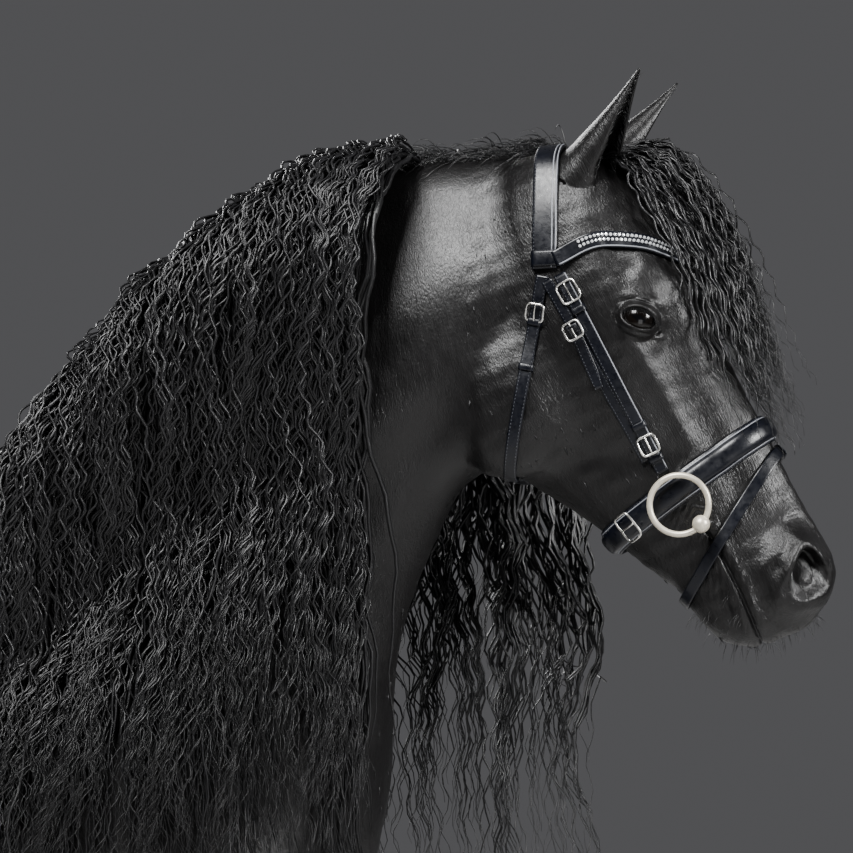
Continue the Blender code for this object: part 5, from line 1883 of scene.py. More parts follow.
@dataclass
class Strap:
    """A leather strap along a path over the head."""

    name: str
    path: Path
    width: float
    thick: float
    closed: bool = False
    profile: Profile = field(default_factory=Profile.flat)
    gap: float = 0.0009
    taper: float = 0.0
    frames: list[tuple[Vector, Vector, Vector]] = field(default_factory=list)

    def laid(self, worn: Worn) -> None:
        """Lays the strap over what is worn, clear of it at every place.

        Args:
            worn: What it lies on.
        """
        count = len(self.path)
        places = np.array([tuple(place) for place, _ in self.path])
        ways = np.array([tuple(way) for _, way in self.path])
        for _ in range(6):
            for table in (places, ways):
                if self.closed:
                    table[:] = (np.roll(table, 1, 0) + 2 * table + np.roll(table, -1, 0)) / 4
                else:
                    table[1:-1] = (table[:-2] + 2 * table[1:-1] + table[2:]) / 4
        runs = ways_along(places, self.closed)
        outs = unit(ways - runs * (ways * runs).sum(1)[:, None])
        sides = np.cross(runs, outs)
        lifts = np.full(count, self.gap)
        for _ in range(5):
            for k in range(count):
                for share in (-0.48, -0.24, 0.0, 0.24, 0.48):
                    point = places[k] + outs[k] * lifts[k] + sides[k] * self.width * share
                    lifts[k] += max(0.0, self.gap - worn.clearance(Vector(point)))
            wide = np.concatenate([lifts[-2:], lifts, lifts[:2]]) if self.closed else np.pad(lifts, 2, "edge")
            calm = np.convolve(wide, (0.2, 0.2, 0.2, 0.2, 0.2), "valid")
            lifts = np.maximum(lifts, calm)
        laid = zip(places + outs * lifts[:, None], outs, sides)
        self.frames = [(Vector(place), Vector(out), Vector(side)) for place, out, side in laid]

    def build(self, worn: Worn) -> bpy.types.Object:
        """Builds the strap and adds it to what is worn.

        Args:
            worn: What it lies on.

        Returns:
            The strap, laid out from the withers.
        """
        self.laid(worn)
        rings = []
        count = len(self.frames)
        for k, (place, out, side) in enumerate(self.frames):
            half = self.width / 2
            if self.taper:
                share = max(0.0, (k - count * (1 - self.taper)) / (count * self.taper))
                half *= math.sqrt(max(0.02, 1 - share**2.4))
            rings.append([place + side * x * half + out * z * self.thick for x, z in self.profile.corners])
        obj = loft(self.name, np.array(rings), self.closed)
        return worn.add(obj)

    def row(
        self, across: float, step: float, start: float = 0.0, end: float = 1.0, above: float = 0.0
    ) -> "PointRow":
        """Evenly spaced places along the strap's upper face.

        Args:
            across: How far off its middle line, from -1 to 1.
            step: How far apart the places are.
            start: Where they begin, as a share of its length.
            end: Where they end.
            above: How far off the face they lie.

        Returns:
            The row of places.
        """
        half, high = self.width / 2, self.height(across) + above
        line = np.array([tuple(p + s * across * half + o * high) for p, o, s in self.frames])
        ways = np.array([tuple(o) for _, o, _ in self.frames])
        reach = distances(line)
        marks = np.arange(reach[-1] * start + step / 2, reach[-1] * end, step)
        places = between(marks, reach, line)
        return PointRow(places, unit(between(marks, reach, ways)), unit(np.gradient(places, axis=0)))

    def height(self, across: float) -> float:
        """How high the strap's upper face stands at a place across it."""
        upper = sorted((x, z) for x, z in self.profile.corners if z > 0.25)
        return float(np.interp(across, [x for x, _ in upper], [z for _, z in upper])) * self.thick


@dataclass(frozen=True)
class PointRow:
    """Places in a row, the way that each faces and the way that the row runs."""

    places: np.ndarray
    ways: np.ndarray
    runs: np.ndarray


class Repeat:
    """A Geometry Nodes tree that sets small bodies along rows of places."""

    def __init__(self, name: str) -> None:
        """Builds the tree with its named inputs.

        Args:
            name: The tree's name.
        """
        self.tree = bpy.data.node_groups.new(name, "GeometryNodeTree")
        face = self.tree.interface
        face.new_socket("Geometry", in_out="OUTPUT", socket_type="NodeSocketGeometry")
        face.new_socket("Geometry", in_out="INPUT", socket_type="NodeSocketGeometry")
        self.size = face.new_socket("Size", in_out="INPUT", socket_type="NodeSocketVector").identifier
        self.level = face.new_socket("Fineness", in_out="INPUT", socket_type="NodeSocketInt").identifier
        self.smooth = face.new_socket("Smooth", in_out="INPUT", socket_type="NodeSocketBool").identifier
        self.uneven = face.new_socket("Unevenness", in_out="INPUT", socket_type="NodeSocketFloat").identifier
        self.finish = face.new_socket("Finish", in_out="INPUT", socket_type="NodeSocketMaterial").identifier
        self.wire()

    def wire(self) -> None:
        """Adds the tree's nodes and links them."""
        nodes, link = self.tree.nodes, self.tree.links.new
        entry, leave = nodes.new("NodeGroupInput"), nodes.new("NodeGroupOutput")
        facing, running = (nodes.new("GeometryNodeInputNamedAttribute") for _ in range(2))
        for node, name in ((facing, "facing"), (running, "running")):
            node.data_type = "FLOAT_VECTOR"
            node.inputs["Name"].default_value = name
        upright, turned = (nodes.new("FunctionNodeAlignRotationToVector") for _ in range(2))
        upright.axis, turned.axis = "Z", "X"
        turned.pivot_axis = "Z"
        link(facing.outputs["Attribute"], upright.inputs["Vector"])
        link(upright.outputs["Rotation"], turned.inputs["Rotation"])
        link(running.outputs["Attribute"], turned.inputs["Vector"])
        body = nodes.new("GeometryNodeMeshIcoSphere")
        body.inputs["Radius"].default_value = 0.5
        link(entry.outputs["Fineness"], body.inputs["Subdivisions"])
        draw = nodes.new("FunctionNodeRandomValue")
        draw.data_type = "FLOAT"
        draw.inputs["Seed"].default_value = 7
        less = nodes.new("ShaderNodeMath")
        less.operation = "SUBTRACT"
        less.inputs[0].default_value = 1.0
        link(entry.outputs["Unevenness"], less.inputs[1])
        link(less.outputs[0], draw.inputs[2])
        draw.inputs[3].default_value = 1.0
        scaled = nodes.new("ShaderNodeVectorMath")
        scaled.operation = "SCALE"
        link(entry.outputs["Size"], scaled.inputs[0])
        link(draw.outputs[1], scaled.inputs["Scale"])
        points = nodes.new("GeometryNodeInstanceOnPoints")
        link(entry.outputs["Geometry"], points.inputs["Points"])
        link(body.outputs["Mesh"], points.inputs["Instance"])
        link(turned.outputs["Rotation"], points.inputs["Rotation"])
        link(scaled.outputs["Vector"], points.inputs["Scale"])
        real, shade = nodes.new("GeometryNodeRealizeInstances"), nodes.new("GeometryNodeSetShadeSmooth")
        dress = nodes.new("GeometryNodeSetMaterial")
        link(points.outputs["Instances"], real.inputs["Geometry"])
        link(real.outputs["Geometry"], shade.inputs["Geometry"])
        link(entry.outputs["Smooth"], shade.inputs["Shade Smooth"])
        link(shade.outputs["Geometry"], dress.inputs["Geometry"])
        link(entry.outputs["Finish"], dress.inputs["Material"])
        link(dress.outputs["Geometry"], leave.inputs["Geometry"])

    def along(
        self, name: str, rows: Sequence[PointRow], size: tuple, finish: bpy.types.Material, level: int = 1,
        uneven: float = 0.0, smooth: bool = True
    ) -> bpy.types.Object:
        """Sets the small bodies along rows of places.

        Args:
            name: The new object's name.
            rows: The rows of places.
            size: Each body's length, width and height.
            finish: Their material.
            level: How round they are.
            uneven: How much smaller the smallest one is.
            smooth: Whether their facets are smoothed over.

        Returns:
            One object with all of them.
        """
        places = np.vstack([row.places for row in rows])
        mesh = bpy.data.meshes.new(name)
        mesh.from_pydata(places.tolist(), [], [])
        for label, table in (("facing", "ways"), ("running", "runs")):
            layer = mesh.attributes.new(label, "FLOAT_VECTOR", "POINT")
            ways = np.vstack([getattr(row, table) for row in rows])
            layer.data.foreach_set("vector", ways.astype(np.float32).ravel())
        obj = new_object(name, mesh)
        step = obj.modifiers.new("repeat", "NODES")
        step.node_group = self.tree
        step[self.size] = size
        step[self.level] = level
        step[self.smooth] = smooth
        step[self.uneven] = uneven
        step[self.finish] = finish
        return baked(obj)


def tube(
    name: str, line: Sequence, radius: float | Sequence[float], closed: bool = False, sides: int = 10
) -> bpy.types.Object:
    """A round wire along a line.

    Args:
        name: The new object's name.
        line: The points down its middle.
        radius: Its radius, or one at each point.
        closed: Whether its ends meet.
        sides: How many sides it has.

    Returns:
        The wire as a closed solid.
    """
    points = np.array([tuple(point) for point in line], float)
    runs = ways_along(points, closed)
    guess = np.array((0.31, 0.52, 0.79))
    first = unit(np.cross(runs[0], guess))
    normals = [first]
    for run in runs[1:]:
        normals.append(unit(normals[-1] - run * (normals[-1] @ run)))
    size = np.broadcast_to(np.asarray(radius, float), (len(points),))
    angles = np.arange(sides) * 2 * math.pi / sides
    rings = []
    for point, run, normal, wide in zip(points, runs, normals, size):
        other = np.cross(run, normal)
        rings.append(point + wide * (np.outer(np.cos(angles), normal) + np.outer(np.sin(angles), other)))
    return loft(name, np.array(rings), closed)


@dataclass(frozen=True)
class Buckle:
    """A wire buckle over a strap, with its tongue."""

    name: str
    place: Vector
    out: Vector
    run: Vector
    half_long: float = 0.0125
    half_wide: float = 0.0115
    wire: float = 0.0015
    roundness: float = 0.42

    def build(self, worn: Worn) -> bpy.types.Object:
        """The buckle's frame and tongue, lifted clear of what is worn.

        Args:
            worn: What it lies on.

        Returns:
            The new object.
        """
        side = self.run.cross(self.out).normalized()
        run = self.out.cross(side).normalized()
        shape = []
        for k in range(32):
            angle = 2 * math.pi * (k + 0.5) / 32
            c, s = math.cos(angle), math.sin(angle)
            x, y = (math.copysign(abs(part) ** self.roundness, part) for part in (c, s))
            shape.append((x * self.half_long, y * self.half_wide))
        lift = 0.0
        for _ in range(10):
            probes = [self.place + run * x + side * y + self.out * lift for x, y in shape[::4]]
            lift += max(0.0, max(0.0005 + self.wire - worn.clearance(probe) for probe in probes))
        line = []
        for x, y in shape:
            high = lift + 0.0008 * math.cos(3.1 * x / self.half_long)
            line.append(self.place + run * x + side * y + self.out * high)
        tongue = []
        for t in np.linspace(0, 1, 8):
            high = lift + 0.0014 * math.sin(math.pi * t)
            tongue.append(self.place + run * (-self.half_long + 2.15 * self.half_long * t) + self.out * high)
        radii = [self.wire * 0.85 * (1 - 0.35 * t) for t in np.linspace(0, 1, 8)]
        return worn.add(join([tube("wire", line, self.wire, True), tube("tongue", tongue, radii)], self.name))


@dataclass
class Bridle:
    """The dressage bridle: its straps, buckles, crystals and stitching, and the bit."""

    worn: Worn
    tree: BVHTree
    looks: "Looks"
    ring: float = 0.034
    bar: float = 0.078
    repeat: Repeat = field(default_factory=lambda: Repeat("repeat"))
    rows: list[PointRow] = field(default_factory=list)

    def loop(
        self,
        centre: tuple[float, float],
        towards: tuple[float, float],
        start: float,
        end: float,
        count: int,
        drop: float = 0.0,
        arch: float = 0.0,
    ) -> Path:
        """Points and facings on the skin along a loop square to the plane of symmetry.

        Args:
            centre: The loop's middle on the head.
            towards: A point that the loop reaches up to.
            start: The angle where it begins, in degrees from the left side.
            end: The angle where it ends.
            count: How many points it has.
            drop: How far its middle lies below that plane.
            arch: How far it arches up beside its middle.

        Returns:
            The points and the way that each faces.
        """
        middle = head_point(*centre)
        up = (head_point(*towards) - middle).normalized()
        found = []
        for angle in np.linspace(math.radians(start), math.radians(end), count):
            way = Vector((0, math.cos(angle), 0)) + up * math.sin(angle)
            shift = DOWN * (drop * math.sin(angle) ** 2 - arch * math.sin(2 * angle) ** 2)
            place, normal, _, _ = self.tree.ray_cast(middle + shift + way * 0.5, -way)
            found.append((place, (normal + way).normalized()))
        return found

    def cheek(self, stops: Sequence[tuple[float, float]], side: Side, count: int) -> Path:
        """Points and facings on one cheek under a line laid out on the head.

        Args:
            stops: The places down the head and off its line.
            side: The side that it is on.
            count: How many points are wanted.

        Returns:
            The points, each with its facing.
        """
        found = []
        for along, out in smooth_rows(stops, count):
            start = head_point(along, out, 0.4 * side.value)
            place, normal, _, _ = self.tree.ray_cast(start, Vector((0, -side.value, 0)))
            found.append((place, (normal + Vector((0, side.value, 0))).normalized()))
        return found

    def leather(self, strap: Strap, seam: float = 0.80, node: str | None = None) -> bpy.types.Object:
        """Builds, dresses and hands over a strap with a row of stitches near each edge.

        Args:
            strap: The strap.
            seam: How far out its stitches lie, as a share of its half width.
            node: The CAD node that it stands for, where it isn't named like it.

        Returns:
            The strap's object.
        """
        obj = strap.build(self.worn)
        self.looks.dress(obj, "leather")
        if seam:
            self.rows += [strap.row(seam * sign, 0.0042, above=-0.0001) for sign in (-1, 1)]
        return finished(obj, "leather", *([strap.name] if node is None else [node] if node else []))

    def buckle(
        self, name: str, path: Path, share: float, size: tuple[float, float] = (0.0125, 0.0115),
        node: bool = True
    ) -> None:
        """A buckle over a strap's path, dressed and handed over.

        Args:
            name: Its name.
            path: The strap's points, each with its facing.
            share: The place along the strap, from 0 to 1.
            size: Half its length and half its width.
            node: Whether it stands for a CAD node of its name.
        """
        k = min(len(path) - 2, max(1, round(share * (len(path) - 1))))
        place, out = path[k]
        run = (path[k + 1][0] - path[k - 1][0]).normalized()
        obj = Buckle(name, place, out, run, *size).build(self.worn)
        self.looks.hand_over(obj, "steel", "buckle_metal", *([name] if node else []))

    def piping(self, name: str, rows: Sequence[PointRow], radius: float) -> None:
        """Thin light piping along rows of places on a strap."""
        obj = join([tube("pipe", row.places, radius, sides=6) for row in rows], name)
        self.looks.hand_over(obj, "piping", "leather")

    def keeper(self, name: str, strap: Strap, share: float, long: float = 0.008) -> None:
        """A narrow leather loop round a strap.

        Args:
            name: Its name.
            strap: The strap.
            share: The place along the strap, from 0 to 1.
            long: How far it runs along the strap.
        """
        k = min(len(strap.frames) - 2, max(1, round(share * (len(strap.frames) - 1))))
        place, out, side = strap.frames[k]
        run = side.cross(out).normalized()
        outline = ((-1, 0), (-0.94, 0.0013), (-0.7, 0.0019), (0.7, 0.0019), (0.94, 0.0013), (1, 0))
        rings = []
        for t in np.linspace(-1, 1, 13):
            drop = 0.0012 * t**8
            high = strap.thick + 0.0012 - drop - strap.thick * 0.9 * abs(t) ** 14
            point = place + side * t * (strap.width / 2 + 0.0016) + out * high
            rings.append([point + run * x * long / 2 + out * z for x, z in outline])
        obj = self.worn.add(loft(name, np.array(rings)))
        self.looks.hand_over(obj, "leather", "leather")

    def build(self) -> None:
        """Builds the whole bridle, from the innermost strap to the outermost."""
        head = Strap("headpiece", self.loop((0.075, -0.030), (-0.0525, 0.0300), -4, 184, 72), 0.030, 0.0046)
        self.leather(head, 0.84)
        edges = [head.row(across, 0.004, above=-0.0002) for across in (-0.88, -0.58)]
        self.piping("headpiece_piping", edges, 0.0008)
        brow_path = self.loop((0.075, -0.030), (0.118, 0.118), 9, 171, 84, 0.024, 0.028)
        brow = Strap("browband", brow_path, 0.020, 0.0042)
        self.leather(brow, 0)
        for side, share in ((Side.LEFT, 0.036), (Side.RIGHT, 0.964)):
            self.keeper(f"browband_loop_{side.word}", head, share, 0.019)
        self.piping("browband_piping", [brow.row(-0.80, 0.004, above=-0.0002)], 0.0009)
        crystals = [brow.row(y, 0.0050, 0.07, 0.93, 0.0008) for y in (0.50, -0.08)]
        facets = self.looks.material("crystal")
        stones = self.repeat.along("crystals", crystals, (0.0046, 0.0046, 0.0034), facets, 1, 0.12, False)
        finished(stones, "buckle_metal")
        throat_path = self.loop((0.075, -0.030), (0.2775, -0.179), 9, 171, 110)
        throat = Strap("throatlatch", throat_path, 0.0150, 0.0038)
        self.leather(throat, 0.72)
        nose_path = self.loop((0.368, 0.030), (0.350, 0.128), 0, 357, 120)
        nose = Strap("noseband", nose_path, 0.034, 0.0105, True, Profile.padded())
        self.leather(nose, 0.90)
        edges = [nose.row(across, 0.004, above=-0.0002) for across in (-0.79, 0.79)]
        self.piping("noseband_piping", edges, 0.0010)
        cheek_line = ((0.094, -0.020), (0.157, -0.017), (0.224, -0.016), (0.304, -0.015), (0.350, -0.015))
        hanger_line = ((0.094, -0.036), (0.157, -0.032), (0.224, -0.030), (0.290, -0.027), (0.330, -0.026))
        for side in Side:
            hanger = Strap(f"noseband_hanger_{side.word}", self.cheek(hanger_line, side, 50), 0.013, 0.0033)
            self.leather(hanger, 0.70)
            cheek_path = self.cheek(cheek_line, side, 54)
            cheek = Strap(f"cheekpiece_{side.word}", cheek_path, 0.0150, 0.0038)
            self.leather(cheek, 0.72)
            edge = cheek.row(0.86 * side.value, 0.004, above=-0.0002)
            self.piping(f"cheek_piping_{side.word}", [edge], 0.0007)
            self.buckle(f"upper_buckle_{side.word}", cheek_path, 0.10)
            self.buckle(f"lower_buckle_{side.word}", cheek_path, 0.80, (0.011, 0.011))
            self.keeper(f"upper_keeper_{side.word}", cheek, 0.19)
            self.keeper(f"middle_keeper_{side.word}", cheek, 0.70)
            self.keeper(f"lower_keeper_{side.word}", cheek, 0.88)
            tip_path = self.cheek(((0.150, -0.031), (0.190, -0.033), (0.232, -0.036)), side, 26)
            self.leather(Strap(f"strap_tip_{side.word}", tip_path, 0.0135, 0.0033, taper=0.35), 0.66, "")
            path = self.cheek(hanger_line, side, 50)
            self.buckle(f"hanger_buckle_{side.word}", path, 0.27, (0.010, 0.0105), False)
            start = 0.145 if side is Side.LEFT else 0.855
            self.buckle(f"throat_buckle_{side.word}", throat_path, start, (0.0105, 0.0105), False)
            self.keeper(f"throat_keeper_{side.word}", throat, start + 0.035 * side.value)
            self.keeper(f"throat_low_keeper_{side.word}", throat, start + 0.13 * side.value)
        flash_path = self.loop((0.430, 0.040), (0.378, 0.120), 0, 356, 110)
        flash = Strap("flash_strap", flash_path, 0.0140, 0.0034, True)
        self.leather(flash, 0)
        self.keeper("flash_loop", flash, 0.25, 0.020)
        self.buckle("noseband_buckle", nose_path, 0.69, (0.013, 0.0165), False)
        thread = self.looks.material("thread")
        stitches = self.repeat.along("stitching", self.rows, (0.0027, 0.0007, 0.0007), thread, 1)
        finished(stitches, "leather")
        self.bit()

    def bit(self) -> None:
        """The bit: two loose rings, and the mouthpiece with its balls."""
        place = head_point(0.424, 0.000)
        bar = [place + Vector((0, y, 0.002 * math.cos(y * 20))) for y in np.linspace(-self.bar, self.bar, 24)]
        parts = [tube("bar", bar, 0.0075, sides=20)]
        for side in Side:
            centre = head_point(0.393, -0.013, self.bar * side.value)
            turns = np.linspace(0, 2 * math.pi, 96, endpoint=False)
            line = [centre + Vector((self.ring * math.cos(a), 0, self.ring * math.sin(a))) for a in turns]
            ring = tube(f"bit_ring_{side.word}", line, 0.0036, True, 16)
            self.looks.hand_over(ring, "bit", "bit_metal", f"bit_ring_{side.word}")
            spot = place + Vector((0, self.bar * side.value, 0))
            parts.append(ball("ball", Matrix.Translation(spot) @ Matrix.Scale(0.0104, 4)))
        mouthpiece = join(parts, "bit_mouthpiece")
        self.looks.hand_over(mouthpiece, "bit", "bit_metal", "bit_mouthpiece")


@dataclass(frozen=True)
class Finish:
    """A surface: its colour, how rough and how metallic it is, and what sets it off."""

    colour: tuple[float, float, float]
    rough: float
    metal: float = 0.0
    specular: float = 0.5
    sheen: float = 0.0
    coat: float = 0.0
    rough_spread: float = 0.10
    tone_spread: float = 0.35
    spot: float = 0.02
    grain: float = 0.0004
    bump: float = 0.3
    depth: float = 0.0002


class Surface:
    """Builds one material node by node."""

    def __init__(self, name: str, finish: Finish) -> None:
        """Starts the material with the finish's constant values.

        Args:
            name: Its name.
            finish: Its constant values.
        """
        self.material = bpy.data.materials.new(name)
        self.material.use_nodes = True
        self.finish = finish
        self.nodes = self.material.node_tree.nodes
        self.link = self.material.node_tree.links.new
        self.shader = self.nodes["Principled BSDF"]
        for key, value in (
            ("Base Color", (*finish.colour, 1.0)), ("Roughness", finish.rough), ("Metallic", finish.metal),
            ("Specular IOR Level", finish.specular), ("Sheen Weight", finish.sheen),
            ("Sheen Roughness", 0.45),
            ("Coat Weight", finish.coat), ("Coat Roughness", 0.12),
        ):
            self.shader.inputs[key].default_value = value
        self.place = self.nodes.new("ShaderNodeTexCoord").outputs["Object"]

    def uv(self, name: str) -> Socket:
        """The output of one of the piece's UV maps.

        Args:
            name: The map's name.

        Returns:
            The output.
        """
        node = self.nodes.new("ShaderNodeUVMap")
        node.uv_map = name
        return node.outputs["UV"]

    def maths(self, operation: str, first: Socket | float, second: Socket | float = 0.0) -> Socket:
        """A value worked out from one or two others.

        Args:
            operation: The name of the operation.
            first: The first value.
            second: The second value.

        Returns:
            The output.
        """
        node = self.nodes.new("ShaderNodeMath")
        node.operation = operation
        for socket, value in zip(node.inputs, (first, second)):
            if isinstance(value, (int, float)):
                socket.default_value = value
            else:
                self.link(value, socket)
        return node.outputs[0]

    def product(self, first: Socket | float, second: Socket | float) -> Socket:
        """Two values multiplied."""
        return self.maths("MULTIPLY", first, second)

    def total(self, first: Socket | float, second: Socket | float) -> Socket:
        """Two values added."""
        return self.maths("ADD", first, second)

    def length(self, first: Socket, second: Socket) -> Socket:
        """The length of two parts at right angles."""
        return self.maths("SQRT", self.total(self.product(first, first), self.product(second, second)))

    def parts(self, vector: Socket) -> Sequence[Socket]:
        """The three parts of a vector.

        Args:
            vector: The vector.

        Returns:
            The three outputs.
        """
        node = self.nodes.new("ShaderNodeSeparateXYZ")
        self.link(vector, node.inputs[0])
        return node.outputs

    def scaled(self, vector: Socket, scale: tuple[float, float, float]) -> Socket:
        """A vector stretched along its axes.

        Args:
            vector: The vector.
            scale: The stretch along each axis.

        Returns:
            The output.
        """
        node = self.nodes.new("ShaderNodeMapping")
        node.inputs["Scale"].default_value = scale
        self.link(vector, node.inputs["Vector"])
        return node.outputs[0]

    def noise(self, vector: Socket, scale: float, detail: float = 3.0) -> Socket:
        """Smooth noise between 0 and 1.

        Args:
            vector: The vector.
            scale: How fine it is.
            detail: How many finer layers it has.

        Returns:
            The output.
        """
        node = self.nodes.new("ShaderNodeTexNoise")
        node.inputs["Scale"].default_value = scale
        node.inputs["Detail"].default_value = detail
        self.link(vector, node.inputs["Vector"])
        return node.outputs["Fac"]

    def ranged(self, value: Socket, low: float, high: float, to_low: float, to_high: float) -> Socket:
        """A value carried from one range to another.

        Args:
            value: The value.
            low: Where the first range starts.
            high: Where it ends.
            to_low: Where the other range starts.
            to_high: Where it ends.

        Returns:
            The output.
        """
        node = self.nodes.new("ShaderNodeMapRange")
        for key, number in (("From Min", low), ("From Max", high), ("To Min", to_low), ("To Max", to_high)):
            node.inputs[key].default_value = number
        self.link(value, node.inputs["Value"])
        return node.outputs[0]

    def mixed(self, share: Socket, first: Socket | tuple, second: Socket | tuple) -> Socket:
        """A colour between two others.

        Args:
            share: How much of the second one shows.
            first: The first colour.
            second: The second colour.

        Returns:
            The output.
        """
        node = self.nodes.new("ShaderNodeMix")
        node.data_type = "RGBA"
        for socket, value in ((node.inputs[0], share), (node.inputs[6], first), (node.inputs[7], second)):
            if isinstance(value, tuple):
                socket.default_value = (*value, 1.0)
            else:
                self.link(value, socket)
        return node.outputs[2]

    def streaks(self, ahead: Socket, high: Socket, across: float, along: float) -> Socket:
        """Streaked noise that runs down the face, back along the trunk and down elsewhere.

        Args:
            ahead: The stretch along the trunk.
            high: The stretch upwards.
            across: The stretch across the streaks.
            along: The stretch along them.

        Returns:
            The output.
        """
        found = []
        for turn in LIE_TURNS:
            node = self.nodes.new("ShaderNodeMapping")
            node.vector_type = "TEXTURE"
            node.inputs["Rotation"].default_value = (0.0, turn, 0.0)
            node.inputs["Scale"].default_value = (along, across, across)
            self.link(self.place, node.inputs["Vector"])
            found.append(self.noise(node.outputs[0], 1.0, 2.0))
        face, back, down = found
        return self.blend(ahead, self.blend(high, down, back), face)

    def blend(self, share: Socket, first: Socket, second: Socket) -> Socket:
        """A value between two others."""
        rest = self.product(self.maths("SUBTRACT", 1.0, share), first)
        return self.total(rest, self.product(share, second))

    def tinted(self, share: Socket, spread: float | None = None) -> None:
        """Lightens and darkens the colour by a value around a half.

        Args:
            share: The value.
            spread: How far the colour goes up and down.
        """
        spread = self.finish.tone_spread if spread is None else spread
        dark, light = (tuple(part * (1 + sign * spread) for part in self.finish.colour) for sign in (-1, 1))
        self.link(self.mixed(share, dark, light), self.shader.inputs["Base Color"])

    def roughened(self, share: Socket) -> None:
        """Makes it rougher and smoother by a value around a half."""
        low, high = self.finish.rough - self.finish.rough_spread, self.finish.rough + self.finish.rough_spread
        self.link(self.ranged(share, 0.25, 0.75, low, high), self.shader.inputs["Roughness"])

    def bumped(
        self, height: Socket, strength: float | None = None, depth: float | None = None,
        before: Socket | None = None
    ) -> Socket:
        """Adds a bump, over another one if given, and returns its normal.

        Args:
            height: The height of the surface.
            strength: How much of it counts.
            depth: How deep it is, in metres.
            before: The bump that it lies on.

        Returns:
            The normal.
        """
        node = self.nodes.new("ShaderNodeBump")
        node.inputs["Strength"].default_value = self.finish.bump if strength is None else strength
        node.inputs["Distance"].default_value = self.finish.depth if depth is None else depth
        self.link(height, node.inputs["Height"])
        if before is not None:
            self.link(before, node.inputs["Normal"])
        self.link(node.outputs[0], self.shader.inputs["Normal"])
        return node.outputs[0]


FINISHES = {
    "coat": Finish(
        (0.0034, 0.0031, 0.0032), 0.35, specular=0.40, sheen=0.008,
        rough_spread=0.08, spot=0.05, bump=0.55, depth=0.0011,
    ),
    "hair": Finish((0.0055, 0.0054, 0.0060), 0.38, specular=0.50, sheen=0.008, bump=0.6, depth=0.0007),
    "horn": Finish((0.030, 0.027, 0.025), 0.42, specular=0.5, bump=0.5, depth=0.0006),
    "leather": Finish(
        (0.0018, 0.0024, 0.0050), 0.33, specular=0.36, coat=0.07,
        spot=0.03, grain=0.0011, bump=0.35, depth=0.00025,
    ),
    "thread": Finish((0.060, 0.063, 0.072), 0.60, grain=0.0004, depth=0.0001),
    "piping": Finish((0.220, 0.228, 0.250), 0.42, grain=0.0006, depth=0.0001),
    "steel": Finish((0.66, 0.65, 0.62), 0.26, metal=1.0, grain=0.0006, bump=0.12, depth=0.0001),
    "bit": Finish((0.66, 0.61, 0.50), 0.36, metal=0.45, grain=0.0010, bump=0.15, depth=0.0001),
    "crystal": Finish((0.86, 0.88, 0.90), 0.06, metal=0.35, specular=1.0, coat=1.0, grain=0.004, bump=0.0),
    "eye": Finish((0.004, 0.003, 0.002), 0.09, specular=0.35, coat=0.15),
    "floor": Finish((0.52, 0.515, 0.51), 0.65, spot=0.6, grain=0.01, bump=0.1, depth=0.0005),
}


